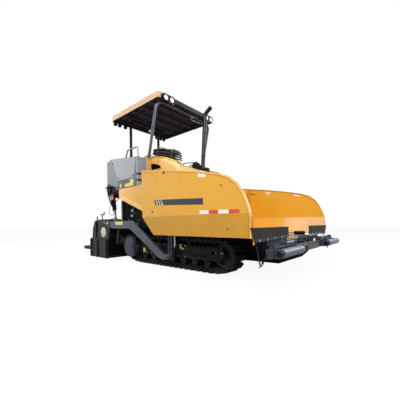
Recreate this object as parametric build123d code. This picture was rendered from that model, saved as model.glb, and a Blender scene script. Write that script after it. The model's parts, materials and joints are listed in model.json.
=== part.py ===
from build123d import *

import math
import os

# Tracked asphalt paver, in millimetres: +X forward, +Y to the machine's left, +Z up.
# While it is modelled X = 0 is the middle of the tracks and Z = 0 the ground.  At export the
# whole machine moves along X so that the origin lies under the middle of its overall length.
# Pieces are modelled on the left (+Y); the right side is their mirror image.

# ------------------------------------------------------------------ clearances
RUN = 0.3            # running gap of a pin in its bore or a piece on its seat
MOVE = 6.0           # free space between pieces that move past each other

# ------------------------------------------------------------------ tracks
TRACK_Y = 940.0      # centre of each track from the middle of the machine
SHOE_WIDTH = 320.0
SHOE_COUNT = 44
SHOE_GAP = 9.0       # half the gap between neighbouring pads
PAD_HEIGHT = 60.0    # pad's outer face above the line of the pins
PLATE_HEIGHT = 24.0  # shoe plate's outer face above the line of the pins
LINK_OUT = 14.0      # links reach this far outside the line of the pins
LINK_IN = 26.0       # and this far inside it
LINK_THICK = 32.0
LINK_HALF = 76.0     # outer face of a link strand from the track's centre
SPROCKET_X, SPROCKET_Z, SPROCKET_R = -1270.0, 330.0, 250.0
IDLER_X, IDLER_Z, IDLER_R = 1355.0, 325.0, 245.0
RAMP_REAR_X, RAMP_FRONT_X = -1040.0, 1150.0
RAMP_R = 110.0
TEETH = 13
ROLLER_R = 74.0
ROLLER_XS = (-960.0, -640.0, -320.0, 0.0, 320.0, 640.0, 960.0)
CARRIER_R = 45.0
CARRIER_XS = (-450.0, 480.0)
FRAME_OUT, FRAME_IN = 110.0, 80.0   # frame's cheek plates from the track's centre
CHEEK = 28.0
CHEEK_REAR, CHEEK_FRONT = -1300.0, 1380.0
CHEEK_LOW, CHEEK_HIGH = 215.0, 505.0
GUARD_X, GUARD_Z, GUARD_R = -1325.0, 360.0, 245.0
GUARD_OUT, GUARD_THICK = TRACK_Y + SHOE_WIDTH / 2 + 90, 84.0
GUARD_FRONT = 135.0  # flat front edge of the round guard from its centre
ROLLER_GUARD_LOW = 110.0

# ------------------------------------------------------------------ chassis
SIDE_OUT = 600.0     # outer face of the chassis side plates
SIDE_THICK = 40.0
CHASSIS_REAR, CHASSIS_FRONT = -1750.0, 2290.0
CHASSIS_LOW = 350.0
HOPPER_FLOOR = 615.0
SIDE_TOP = 655.0
TUNNEL_TOP = 970.0
BAY_FLOOR = 1000.0
BAY_Y = 905.0        # outer face of the engine bay's walls
BAY_WALL = 40.0
BAY_TOP = 1720.0
BACK_WALL_X, BACK_WALL_THICK = 235.0, 27.0
BACK_WALL_TOP, BACK_WALL_Y = 1780.0, 1100.0
NOSE_LONG = 120.0    # closing block at the front end of the frame
TOW_EYE_X, TOW_EYE_Y, TOW_EYE_Z, TOW_EYE_R, TOW_EYE_LONG = 2235.0, 320.0, 350.0, 25.0, 36.0
SLAT_HIGH = 34.0
CHAIN_REAR, CHAIN_FRONT = CHASSIS_REAR + 30, CHASSIS_FRONT - 140   # ends of the conveyor chains
CHAIN_TOP, CHAIN_LOW, CHAIN_THICK = HOPPER_FLOOR + RUN + SLAT_HIGH, HOPPER_FLOOR - 175, 22.0
CHAIN_TURN = CHAIN_TOP - CHAIN_LOW   # length of each end where the chains turn over
SLAT_COUNT, SLAT_WIDE = 13, 40.0
TANK_Y, TANK_REAR, TANK_FRONT, TANK_LOW = GUARD_OUT - 50, -1740.0, -180.0, 700.0

# ------------------------------------------------------------------ superstructure
DECK_REAR, DECK_TOP, DECK_Y = -2360.0, 1780.0, 1200.0
HOOD_REAR, HOOD_FRONT, HOOD_Y, HOOD_BEVEL, HOOD_WALL = -900.0, 232.0, 900.0, 95.0, 18.0
# sections of the engine hood: x, height of its top
HOOD_SECTIONS = ((-900.0, 2545.0), (-580.0, 2475.0), (-390.0, 2422.0), (-200.0, 2345.0),
                 (-90.0, 2262.0), (70.0, 2105.0), (232.0, 1930.0))
# recess in the middle of the hood: half width, then x and height of its floor's two ends
DIP_Y, DIP_REAR, DIP_FRONT = 620.0, (-600.0, 2372.0), (-60.0, 2240.0)
FLANK_Y, FLANK_REAR, FLANK_FRONT = 1250.0, -1690.0, -120.0
CONSOLE_IN, CONSOLE_FRONT = 1000.0, -950.0
CONSOLE_HIGH_X, CONSOLE_HIGH, CONSOLE_LOW = -2160.0, 2603.0, 2466.0   # highest point, front edge
DASH_REAR, DASH_TOP, DASH_Y = -1140.0, 2500.0, 995.0
SEAT_X, SEAT_Y = -1830.0, 450.0
ROOF_REAR, ROOF_FRONT, ROOF_Y = -2500.0, -450.0, 975.0
ROOF_TOP, ROOF_DEPTH, ROOF_WALL = 3885.0, 130.0, 16.0
ROOF_LOW = ROOF_TOP - ROOF_DEPTH
POST_R = 34.0
REAR_POST_X, REAR_POST_Y, REAR_POST_R = -2305.0, 495.0, 38.0
FRONT_POST_X, FRONT_POST_Y, FRONT_LEAN, FRONT_BAR_Z = -855.0, 945.0, 285.0, ROOF_TOP - 150
RAIL_TOP, RAIL_REAR, RAIL_FRONT = 2740.0, -1655.0, -1069.0
EXHAUST_X, EXHAUST_Y, EXHAUST_R = -290.0, 335.0, 52.0
EXHAUST_TOP, ENGINE_TOP = 3830.0, 1980.0
TARP_REAR, TARP_FRONT, TARP_Y, TARP_R = -1080.0, -110.0, -550.0, 150.0

# ------------------------------------------------------------------ hopper wings
HINGE_Y, HINGE_Z, HINGE_PIN, KNUCKLE_R = 590.0, 700.0, 16.0, 30.0
WING_Y, WING_THICK = 1712.0, 12.0
WING_REAR, WING_FLOOR_REAR, WING_FRONT = -70.0, 280.0, 2300.0
CREASE_Z, WING_LOW_Y = 1035.0, 1600.0
# upper and front edge of a wing's outer wall: x, z
WING_EDGE = ((WING_REAR, 1925.0), (730.0, 1815.0), (1330.0, 1712.0), (1740.0, 1625.0), (1940.0, 1555.0),
             (2090.0, 1440.0), (2190.0, 1290.0), (2250.0, 1150.0), (WING_FRONT, 990.0))
WING_BENDS = (0, 0, 0, 0, 60, 110, 0, 0, 60, 0, 60, 0)   # radius of each corner of the wall's outline
RIM, RIM_THICK = 34.0, 13.0
FLAP_THICK, FLAP_TOP, FLAP_LOW, FLAP_IN = 16.0, 838.0, 643.0, 530.0

# ------------------------------------------------------------------ push beam
PUSH_ROLLER_X, PUSH_ROLLER_Z, PUSH_ROLLER_R = 2588.0, 498.0, 62.0
PUSH_IN, PUSH_OUT = 720.0, 1460.0
BEAM_BACK, BEAM_DEPTH, BEAM_LOW, BEAM_HIGH = 2420.0, 80.0, 430.0, 540.0
PIVOT_X, PIVOT_R = 2362.0, 38.0

# ------------------------------------------------------------------ augers
AUGER_Z, AUGER_R, AUGER_SHAFT = 440.0, 185.0, 48.0
AUGER_X = CHASSIS_REAR - AUGER_R - 2 * MOVE
AUGER_IN, AUGER_OUT, AUGER_PITCH, FLIGHT = 70.0, 1150.0, 320.0, 16.0
FLIGHT_STEPS = 12    # flat spans in one turn of the flight

# ------------------------------------------------------------------ screed and tow arms
TOW_X, TOW_Z, TOW_PIN = 120.0, 230.0, 30.0
ARM_IN, ARM_THICK = GUARD_OUT + MOVE, 48.0
SCREED_Y, SCREED_FRONT, SCREED_REAR = ARM_IN + ARM_THICK, -2280.0, -2840.0
SCREED_TOP, CHEEK_PLATE_X = 1040.0, -2166.0
EXT_FRONT, EXT_REAR, EXT_IN = -2965.0, -3240.0, 30.0
GUIDE_X, GUIDE_R, GUIDE_ZS = -2905.0, 30.0, (300.0, 640.0)
END_PLATE = 24.0
BOLT_X, BOLT_Z, BOLT_SPAN_X, BOLT_SPAN_Z, BOLT_R = -2560.0, 260.0, 360.0, 280.0, 11.0
WALK_REAR, WALK_LOW, WALK_HIGH = -3820.0, 175.0, 265.0

# ------------------------------------------------------------------ lift cylinders
LIFT_TOP_X, LIFT_TOP_Z = -2010.0, 1640.0
LIFT_EYE_X, LIFT_EYE_Z = -1920.0, 1045.0
BARREL_R, ROD_R, EYE_PIN, EYE_SLACK = 45.0, 24.0, 18.0, 9.0
BARREL_LONG, LIFT_STROKE = 375.0, 170.0
ROD_NECK = 52.0      # the round rod ends this far from its eye, so that it swings past the lug's corners


# ------------------------------------------------------------------ helpers
def outline(points, radius=0.0):
    """Face inside a closed outline, its corners rounded by one radius or by one each."""
    rounded = isinstance(radius, (list, tuple)) or radius > 0
    if rounded:
        return make_face(FilletPolyline(*points, radius=radius, close=True))
    return make_face(Polyline(*points, close=True))


def across(points, low, high, radius=0.0):
    """Side outline (x, z) extruded across the machine from y = low to y = high."""
    plane = Plane(origin=(0, high, 0), x_dir=(1, 0, 0), z_dir=(0, -1, 0))
    return extrude(plane * outline(points, radius), high - low, dir=(0, -1, 0))


def along(points, low, high, radius=0.0):
    """Front outline (y, z) extruded along the machine from x = low to x = high."""
    plane = Plane(origin=(low, 0, 0), x_dir=(0, 1, 0), z_dir=(1, 0, 0))
    return extrude(plane * outline(points, radius), high - low, dir=(1, 0, 0))


def upward(points, low, high, radius=0.0):
    """Plan outline (x, y) extruded from z = low to z = high."""
    return extrude(Pos(0, 0, low) * outline(points, radius), high - low, dir=(0, 0, 1))


def block(x, y, z):
    """Box from three (low, high) pairs."""
    middle = [(low + high) / 2 for low, high in (x, y, z)]
    return Pos(*middle) * Box(x[1] - x[0], y[1] - y[0], z[1] - z[0])


def bar_y(x, z, radius, low, high):
    """Round bar along Y."""
    return Pos(x, (low + high) / 2, z) * Rot(90, 0, 0) * Cylinder(radius, high - low)


def bar_x(y, z, radius, low, high):
    """Round bar along X."""
    return Pos((low + high) / 2, y, z) * Rot(0, 90, 0) * Cylinder(radius, high - low)


def bar_z(x, y, radius, low, high):
    """Round bar along Z."""
    return Pos(x, y, (low + high) / 2) * Cylinder(radius, high - low)


def tube(points, bend, radius):
    """Round tube along straight runs joined by bends."""
    path = FilletPolyline(*points, radius=bend)
    start = Plane(origin=path @ 0, z_dir=path % 0)
    return sweep(start * Circle(radius), path=path)


def fuse(*pieces):
    """One solid from pieces that share volume."""
    solid = pieces[0]
    for piece in pieces[1:]:
        solid += piece
    return solid


def mirrored(piece):
    """The same piece on the other side of the machine."""
    return mirror(piece, about=Plane.XZ)


def both(piece):
    """The piece and its mirror image, as two solids of one node."""
    return Compound(children=[*piece.solids(), *mirrored(piece).solids()])


# ------------------------------------------------------------------ tracks
# wheels that the line of the pins runs round: x, z, radius, counter-clockwise from the rear
BELT = ((SPROCKET_X, SPROCKET_Z, SPROCKET_R),
        (RAMP_REAR_X, RAMP_R + PAD_HEIGHT, RAMP_R),
        (RAMP_FRONT_X, RAMP_R + PAD_HEIGHT, RAMP_R),
        (IDLER_X, IDLER_Z, IDLER_R))


def belt_runs():
    """Straight runs and arcs of the pin line: (length, point function, normal function)."""
    tangents = []
    for (xa, za, ra), (xb, zb, rb) in zip(BELT, BELT[1:] + BELT[:1]):
        reach = math.hypot(xb - xa, zb - za)
        dx, dz = (xb - xa) / reach, (zb - za) / reach
        tilt = math.asin((ra - rb) / reach)
        normal = (dz * math.cos(tilt) + dx * math.sin(tilt), -dx * math.cos(tilt) + dz * math.sin(tilt))
        tangents.append((normal, (xa + ra * normal[0], za + ra * normal[1]),
                         (xb + rb * normal[0], zb + rb * normal[1])))
    runs = []
    for index, (normal, start, end) in enumerate(tangents):
        runs.append(("run", math.dist(start, end), start, end, normal))
        x, z, radius = BELT[(index + 1) % len(BELT)]
        leaving = tangents[(index + 1) % len(BELT)][0]
        first = math.atan2(normal[1], normal[0])
        turn = (math.atan2(leaving[1], leaving[0]) - first) % (2 * math.pi)
        runs.append(("arc", radius * turn, (x, z), radius, first))
    return runs


def pin_points():
    """Pins of the track chain, evenly spaced along its line, with their outward normals."""
    runs = belt_runs()
    total = sum(run[1] for run in runs)
    pins = []
    for index in range(SHOE_COUNT):
        left = total * index / SHOE_COUNT
        for kind, length, *rest in runs:
            if left <= length:
                break
            left -= length
        if kind == "run":
            start, end, normal = rest
            part = left / length
            point = (start[0] + (end[0] - start[0]) * part, start[1] + (end[1] - start[1]) * part)
        else:
            centre, radius, first = rest
            normal = (math.cos(first + left / radius), math.sin(first + left / radius))
            point = (centre[0] + radius * normal[0], centre[1] + radius * normal[1])
        pins.append((point, normal))
    return pins


def loop_at(pins, height):
    """Closed outline through the pins, moved outwards by a height."""
    return [(p[0] + n[0] * height, p[1] + n[1] * height) for p, n in pins]


def make_track():
    """Closed track: shoes with their pads in the outline, over two strands of links."""
    pins = pin_points()
    shoes = []
    for (a, _), (b, _) in zip(pins, pins[1:] + pins[:1]):
        pitch = math.dist(a, b)
        tx, tz = (b[0] - a[0]) / pitch, (b[1] - a[1]) / pitch
        nx, nz = tz, -tx
        for way, height in ((SHOE_GAP, PLATE_HEIGHT), (SHOE_GAP * 2, PAD_HEIGHT),
                            (pitch - SHOE_GAP * 2, PAD_HEIGHT), (pitch - SHOE_GAP, PLATE_HEIGHT)):
            shoes.append((a[0] + tx * way + nx * height, a[1] + tz * way + nz * height))
    inner, outer = TRACK_Y - SHOE_WIDTH / 2, TRACK_Y + SHOE_WIDTH / 2
    loop = across(shoes, inner, outer) - across(loop_at(pins, LINK_OUT - 6), inner - 1, outer + 1)
    for side in (-1, 1):
        low, high = sorted((TRACK_Y + side * LINK_HALF, TRACK_Y + side * (LINK_HALF - LINK_THICK)))
        strand = across(loop_at(pins, LINK_OUT), low, high)
        loop += strand - across(loop_at(pins, -LINK_IN), low - 1, high + 1)
    return loop


def seat_radius(radius):
    """Largest wheel inside the links where they run round an arc of the pin line."""
    pitch = sum(run[1] for run in belt_runs()) / SHOE_COUNT
    half_turn = math.asin(pitch / 2 / radius)
    return (radius - LINK_IN) * math.cos(half_turn) - RUN


def make_track_wheels():
    """Toothed sprocket, plain idler, bottom rollers and carrier rollers of one track."""
    cheek_in, cheek_out = TRACK_Y - FRAME_IN, TRACK_Y + FRAME_OUT - CHEEK
    tread = LINK_HALF + 4
    hub = seat_radius(SPROCKET_R)
    tip = (SPROCKET_R + LINK_OUT - 6) * hub / (SPROCKET_R - LINK_IN) - MOVE
    gear = []
    for tooth in range(TEETH):
        for share, radius in ((-0.32, hub - 30), (-0.14, tip), (0.14, tip), (0.32, hub - 30)):
            angle = (tooth + share) * 2 * math.pi / TEETH
            gear.append((SPROCKET_X + radius * math.cos(angle), SPROCKET_Z + radius * math.sin(angle)))
    narrow = LINK_HALF - LINK_THICK - MOVE
    wheels = [fuse(across(gear, TRACK_Y - narrow, TRACK_Y + narrow),
                   bar_y(SPROCKET_X, SPROCKET_Z, hub - 55, TRACK_Y - tread, TRACK_Y + tread),
                   bar_y(SPROCKET_X, SPROCKET_Z, 90, cheek_in, cheek_out))]
    rim = seat_radius(IDLER_R)
    wheels.append(fuse(bar_y(IDLER_X, IDLER_Z, rim, TRACK_Y - tread, TRACK_Y + tread)
                       - bar_y(IDLER_X, IDLER_Z, rim - 45, TRACK_Y + 30, TRACK_Y + tread + 1)
                       - bar_y(IDLER_X, IDLER_Z, rim - 45, TRACK_Y - tread - 1, TRACK_Y - 30),
                       bar_y(IDLER_X, IDLER_Z, 60, cheek_in, cheek_out)))
    low = PAD_HEIGHT + LINK_IN + RUN + ROLLER_R
    wheels += [fuse(bar_y(x, low, ROLLER_R, TRACK_Y - LINK_HALF, TRACK_Y + LINK_HALF),
                    bar_y(x, low + 55, 24, cheek_in, cheek_out)) for x in ROLLER_XS]
    for x in CARRIER_XS:
        share = (x - SPROCKET_X) / (IDLER_X - SPROCKET_X)
        top = SPROCKET_Z + SPROCKET_R + (IDLER_Z + IDLER_R - SPROCKET_Z - SPROCKET_R) * share
        high = top - LINK_IN - CARRIER_R - 1
        wheels.append(fuse(bar_y(x, high, CARRIER_R, TRACK_Y - LINK_HALF, TRACK_Y + LINK_HALF),
                           bar_y(x, CHEEK_HIGH - 26, 22, cheek_in, cheek_out)))
    return Compound(children=[wheel.solid() for wheel in wheels])


def make_track_frame():
    """Side frame between the runs of one track: two cheek plates on a box beam."""
    side = [(CHEEK_REAR, CHEEK_LOW + 60), (CHEEK_REAR + 60, CHEEK_LOW), (CHEEK_FRONT - 90, CHEEK_LOW),
            (CHEEK_FRONT, CHEEK_LOW + 70), (CHEEK_FRONT, CHEEK_HIGH - 110),
            (CHEEK_FRONT - 60, CHEEK_HIGH - 40), (-1000, CHEEK_HIGH), (CHEEK_REAR, CHEEK_HIGH - 30)]
    out_low, out_high = TRACK_Y + FRAME_OUT - CHEEK, TRACK_Y + FRAME_OUT
    in_low, in_high = TRACK_Y - FRAME_IN - CHEEK, TRACK_Y - FRAME_IN
    outer = across(side, out_low, out_high, 18)
    for row in (290.0, 455.0):
        for step in range(4):
            outer -= bar_y(650 + step * 95, row, 24, out_low - 1, out_high + 1)
    outer -= across([(1085, 330), (1185, 330), (1185, 385), (1085, 385)], out_low - 1, out_high + 1, 27)
    beam = block((-950, 1030), (in_high, out_low), (270, CHEEK_HIGH - 90))
    guard = block((RAMP_REAR_X, RAMP_FRONT_X), (in_low, in_high), (ROLLER_GUARD_LOW, CHEEK_LOW + 60))
    return fuse(outer, across(side, in_low, in_high, 18), beam, guard)


def make_drive_guard():
    """Round guard plate over the final drive, flat at its front, on its hub."""
    guard = bar_y(GUARD_X, GUARD_Z, GUARD_R, GUARD_OUT - GUARD_THICK, GUARD_OUT)
    guard -= block((GUARD_X + GUARD_FRONT, GUARD_X + GUARD_R + 1),
                   (GUARD_OUT - GUARD_THICK - 1, GUARD_OUT + 1),
                   (GUARD_Z - GUARD_R, GUARD_Z + GUARD_R))
    guard -= across([(SPROCKET_X - 5, 300), (SPROCKET_X + 35, 300), (SPROCKET_X + 35, 420),
                     (SPROCKET_X - 5, 420)], GUARD_OUT - 14, GUARD_OUT + 1, 19)
    return guard + bar_y(SPROCKET_X, SPROCKET_Z, 95, TRACK_Y + FRAME_OUT, GUARD_OUT - GUARD_THICK + 1)


# ------------------------------------------------------------------ chassis
def make_main_frame():
    """Tractor frame: side plates, conveyor tunnel, engine bay, cross beams and nose."""
    side_in = SIDE_OUT - SIDE_THICK
    side = [(CHASSIS_REAR, CHASSIS_LOW), (1800, CHASSIS_LOW), (CHASSIS_FRONT, 470),
            (CHASSIS_FRONT, SIDE_TOP), (BACK_WALL_X, SIDE_TOP), (BACK_WALL_X, BAY_FLOOR),
            (CHASSIS_REAR, BAY_FLOOR)]
    pieces = [across(side, side_in, SIDE_OUT), across(side, -SIDE_OUT, -side_in)]
    pieces.append(block((CHAIN_REAR + CHAIN_TURN, CHAIN_FRONT - CHAIN_TURN), (-SIDE_OUT + 5, SIDE_OUT - 5),
                        (HOPPER_FLOOR - 14, HOPPER_FLOOR)))
    pieces.append(block((CHASSIS_REAR, 1800), (-SIDE_OUT + 5, SIDE_OUT - 5), (CHASSIS_LOW, CHASSIS_LOW + 14)))
    pieces.append(block((CHASSIS_REAR, BACK_WALL_X), (-BAY_Y, BAY_Y), (TUNNEL_TOP, BAY_FLOOR)))
    bay = block((CHASSIS_REAR, BACK_WALL_X), (-BAY_Y, BAY_Y), (BAY_FLOOR - 1, BAY_TOP))
    bay -= block((CHASSIS_REAR + BAY_WALL, BACK_WALL_X - BAY_WALL), (-BAY_Y + BAY_WALL, BAY_Y - BAY_WALL),
                 (BAY_FLOOR - 2, BAY_TOP + 1))
    pieces.append(bay)
    for x in (-850.0, 620.0):
        for side in (1, -1):
            reach = sorted((side * (SIDE_OUT - 1), side * (TRACK_Y - FRAME_IN - CHEEK)))
            pieces.append(block((x, x + 220), reach, (300, 440)))
    nose = block((CHASSIS_FRONT - NOSE_LONG, CHASSIS_FRONT), (-SIDE_OUT, SIDE_OUT),
                 (BEAM_LOW + 40, HOPPER_FLOOR - 10))
    pieces.append(nose)
    for y in (-TOW_EYE_Y, TOW_EYE_Y):
        eye = across([(TOW_EYE_X - 60, BEAM_LOW + 50), (TOW_EYE_X - 40, TOW_EYE_Z - 45),
                      (TOW_EYE_X + 40, TOW_EYE_Z - 45), (TOW_EYE_X + 55, BEAM_LOW + 50)],
                     y - TOW_EYE_LONG / 2, y + TOW_EYE_LONG / 2, [1, 38, 38, 1])
        pieces.append(eye - bar_y(TOW_EYE_X, TOW_EYE_Z, TOW_EYE_R, y - TOW_EYE_LONG, y + TOW_EYE_LONG))
    for low, high in ((BEAM_HIGH + RUN, BEAM_HIGH + 34), (BEAM_LOW - 34, BEAM_LOW - RUN)):
        lug = upward([(CHASSIS_FRONT - 60, -110), (PIVOT_X + 50, -50), (PIVOT_X + 50, 50),
                      (CHASSIS_FRONT - 60, 110)], low, high)
        pieces.append(lug)
    pieces.append(block((CHASSIS_FRONT - 60, CHASSIS_FRONT - 1), (-110, 110), (BEAM_LOW - 34, BEAM_HIGH)))
    pieces.append(bar_z(PIVOT_X, 0, PIVOT_R - RUN, BEAM_LOW - 34, BEAM_HIGH + 34))
    return fuse(*pieces)


def wing_hinge(lugs):
    """Pin of one wing's hinge, in lugs that stand on the chassis side plate."""
    pin = bar_x(HINGE_Y, HINGE_Z, HINGE_PIN, WING_FLOOR_REAR + 15, WING_FRONT - 90)
    for low, high in lugs:
        foot = block((low, high), (HINGE_Y - 20, SIDE_OUT), (SIDE_TOP, HINGE_Z))
        pin += foot + bar_x(HINGE_Y, HINGE_Z, KNUCKLE_R, low, high)
    return pin


def hinge_spans():
    """Lugs and knuckles of the hinge in turn along its pin: two lists of (low, high)."""
    first, last, count = WING_FLOOR_REAR + 20, WING_FRONT - 95, 9
    step = (last - first) / count
    spans = [(first + step * i + MOVE / 2, first + step * (i + 1) - MOVE / 2) for i in range(count)]
    return spans[0::2], spans[1::2]


def make_hopper_back():
    """Fixed back wall of the hopper, open at the conveyor tunnel, with its top flange."""
    wall = along([(-BACK_WALL_Y, BAY_FLOOR - 30), (BACK_WALL_Y, BAY_FLOOR - 30),
                  (BACK_WALL_Y, BACK_WALL_TOP - 90), (BACK_WALL_Y - 90, BACK_WALL_TOP),
                  (-BACK_WALL_Y + 90, BACK_WALL_TOP), (-BACK_WALL_Y, BACK_WALL_TOP - 90)],
                 BACK_WALL_X, BACK_WALL_X + BACK_WALL_THICK)
    skirt = along([(-SIDE_OUT + 45, SIDE_TOP + 20), (-SIDE_OUT - 60, SIDE_TOP + 90),
                   (-BACK_WALL_Y, SIDE_TOP + 90), (-BACK_WALL_Y, BAY_FLOOR), (BACK_WALL_Y, BAY_FLOOR),
                   (BACK_WALL_Y, SIDE_TOP + 90), (SIDE_OUT + 60, SIDE_TOP + 90),
                   (SIDE_OUT - 45, SIDE_TOP + 20),
                   (SIDE_OUT - 45, TUNNEL_TOP - 20), (-SIDE_OUT + 45, TUNNEL_TOP - 20)],
                  BACK_WALL_X, BACK_WALL_X + BACK_WALL_THICK)
    return wall + skirt


def make_conveyor():
    """Two slat conveyors side by side: chains round their shafts, with cross slats."""
    rear, front, top, low, thick = CHAIN_REAR, CHAIN_FRONT, CHAIN_TOP, CHAIN_LOW, CHAIN_THICK
    half, gap = CHAIN_TURN / 2, 12.0
    run = [(rear, low), (front, low), (front, top), (rear, top)]
    inside = [(rear + thick, low + thick), (front - thick, low + thick),
              (front - thick, top - thick), (rear + thick, top - thick)]
    first, last = rear + CHAIN_TURN + 5, front - CHAIN_TURN - SLAT_WIDE - 5
    halves = []
    for side in (1, -1):
        inner, outer = side * gap, side * (SIDE_OUT - SIDE_THICK - 10)
        edges = sorted((inner, outer))
        chains = []
        for share in (0.06, 0.94):
            y = inner + (outer - inner) * share
            chains.append(across(run, y - 16, y + 16, half - 1)
                          - across(inside, y - 17, y + 17, half - thick - 1))
        slats = []
        for index in range(SLAT_COUNT):
            x = first + (last - first) * index / (SLAT_COUNT - 1)
            slats += [block((x, x + SLAT_WIDE), edges, (level, level + SLAT_HIGH))
                      for level in (low - 6, top - SLAT_HIGH)]
        halves.append(fuse(*chains, *slats))
    shafts = [bar_y(x, (top + low) / 2, half - thick - RUN, -SIDE_OUT + SIDE_THICK, SIDE_OUT - SIDE_THICK)
              for x in (rear + half, front - half)]
    return Compound(children=[half.solid() for half in halves] + shafts)


def make_engine_block():
    """Engine as one plain block on the floor of its bay."""
    return block((-780, -60), (-330, 330), (BAY_FLOOR, ENGINE_TOP))


def make_tank():
    """Dark side tank over the track, its lower outer edge bevelled."""
    low, high, out = TANK_LOW, BAY_TOP - 560, TANK_Y
    return along([(SIDE_OUT, low), (out - 110, low), (out, low + 120), (out, high), (SIDE_OUT + 310, high),
                  (SIDE_OUT + 310, TUNNEL_TOP - 2), (SIDE_OUT, TUNNEL_TOP - 2)], TANK_REAR, TANK_FRONT)


# ------------------------------------------------------------------ body panels
def make_flank():
    """Painted body side over the tank, its lower rim bevelled inwards."""
    side = [(FLANK_REAR, 1575), (FLANK_REAR + 60, 1515), (-720, 1188), (FLANK_FRONT, 1188),
            (FLANK_FRONT, DECK_TOP), (FLANK_REAR, DECK_TOP)]
    panel = across(side, BAY_Y, FLANK_Y)
    low = [edge for edge in panel.edges() if abs(edge.center().Y - FLANK_Y) < 1
           and edge.center().Z < 1500 and abs(edge.center().X - FLANK_FRONT) > 1]
    return chamfer(low, 70)


def hood_shell(inset, low):
    """Hood's body, every face of it moved inwards by an inset."""
    sections = []
    for x, top in HOOD_SECTIONS:
        out, high = HOOD_Y - inset, top - inset
        face = outline([(-out, low), (out, low), (out, high - HOOD_BEVEL), (out - HOOD_BEVEL, high),
                        (-out + HOOD_BEVEL, high), (-out, high - HOOD_BEVEL)])
        at = min(max(x, HOOD_REAR + inset), HOOD_FRONT - inset)
        sections.append(Plane(origin=(at, 0, 0), x_dir=(0, 1, 0), z_dir=(1, 0, 0)) * face)
    return loft(sections, ruled=True)


def hood_dip(inset):
    """Cutter of the recess in the middle of the hood, its walls and floor moved by an inset."""
    (rear, high), (front, low) = DIP_REAR, DIP_FRONT
    above = HOOD_SECTIONS[0][1] + 50
    return across([(rear - inset, high - inset), (front, low - inset), (front + 30, above),
                   (rear - inset, above)], -DIP_Y - inset, DIP_Y + inset)


def make_hood():
    """Engine hood: a shell with bevelled shoulders, a recess, side air openings and a pipe hole."""
    inside = hood_shell(HOOD_WALL, BAY_TOP - 1) - hood_dip(HOOD_WALL)
    hood = hood_shell(0.0, BAY_TOP) - hood_dip(0.0) - inside
    vent = [(-850, 2170), (-850, 2330), (-640, 2285), (-520, 2240), (-455, 2170)]
    for low, high in ((HOOD_Y - HOOD_WALL - 2, HOOD_Y + 1), (-HOOD_Y - 1, -HOOD_Y + HOOD_WALL + 2)):
        hood -= across(vent, low, high, 24)
    return hood - bar_z(EXHAUST_X, EXHAUST_Y, EXHAUST_R + MOVE, DIP_FRONT[1] - 40, DIP_REAR[1])


# ------------------------------------------------------------------ operator's platform
def make_platform():
    """Deck on the engine bay, widened at the rear, with brackets for the lift cylinders."""
    deck = upward([(DECK_REAR, -DECK_Y), (FLANK_REAR - MOVE, -DECK_Y), (FLANK_REAR - MOVE, -HOOD_Y),
                   (HOOD_REAR, -HOOD_Y), (HOOD_REAR, HOOD_Y), (FLANK_REAR - MOVE, HOOD_Y),
                   (FLANK_REAR - MOVE, DECK_Y), (DECK_REAR, DECK_Y)], BAY_TOP, DECK_TOP)
    pieces = [deck]
    gusset = [(CHASSIS_REAR, BAY_TOP + 1), (CHASSIS_REAR, 1380), (DECK_REAR + 60, BAY_TOP - 60),
              (DECK_REAR + 60, BAY_TOP + 1)]
    for y in (-700.0, 0.0, 700.0):
        pieces.append(across(gusset, y - 8, y + 8))
    pieces.append(block((DECK_REAR, DECK_REAR + 14), (-DECK_Y, DECK_Y), (BAY_TOP - 90, BAY_TOP + 1)))
    middle = ARM_IN + ARM_THICK / 2
    for side in (1, -1):
        for low, high in ((middle - 50, middle - 26), (middle + 26, middle + 50)):
            ear = across([(LIFT_TOP_X - 60, BAY_TOP + 1), (LIFT_TOP_X - 38, LIFT_TOP_Z - 38),
                          (LIFT_TOP_X + 38, LIFT_TOP_Z - 38), (LIFT_TOP_X + 60, BAY_TOP + 1)],
                         *sorted((side * low, side * high)))
            pieces.append(ear)
        pin = sorted((side * (middle - 51), side * (middle + 51)))
        pieces.append(bar_y(LIFT_TOP_X, LIFT_TOP_Z, EYE_PIN, *pin))
        shelf = sorted((side * (DECK_Y - 60), side * (middle + 50)))
        pieces.append(block((LIFT_TOP_X - 90, LIFT_TOP_X + 90), shelf, (BAY_TOP, BAY_TOP + 14)))
    return fuse(*pieces)


def make_console():
    """Side console of the deck: upright box whose top falls forwards from a rear shoulder."""
    side = [(DECK_REAR, DECK_TOP), (CONSOLE_FRONT, DECK_TOP), (CONSOLE_FRONT, CONSOLE_LOW),
            (CONSOLE_HIGH_X, CONSOLE_HIGH), (DECK_REAR, CONSOLE_HIGH - 60)]
    return across(side, CONSOLE_IN, DECK_Y, [1, 1, 26, 60, 40])


def make_dash():
    """Cabinet across the front of the deck with a sloped instrument face."""
    side = [(DASH_REAR, DECK_TOP), (HOOD_REAR, DECK_TOP), (HOOD_REAR, DASH_TOP),
            (DASH_REAR + 120, DASH_TOP), (DASH_REAR, DASH_TOP - 190)]
    return across(side, -DASH_Y, DASH_Y)


def make_seat_bases():
    """Pedestals of the two seats, with their pans."""
    low = DECK_TOP
    base = fuse(block((SEAT_X - 190, SEAT_X + 190), (SEAT_Y - 170, SEAT_Y + 170), (low, low + 24)),
                block((SEAT_X - 130, SEAT_X + 130), (SEAT_Y - 110, SEAT_Y + 110), (low + 23, low + 300)),
                block((SEAT_X - 230, SEAT_X + 220), (SEAT_Y - 220, SEAT_Y + 220), (low + 299, low + 330)))
    return both(base)


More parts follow.
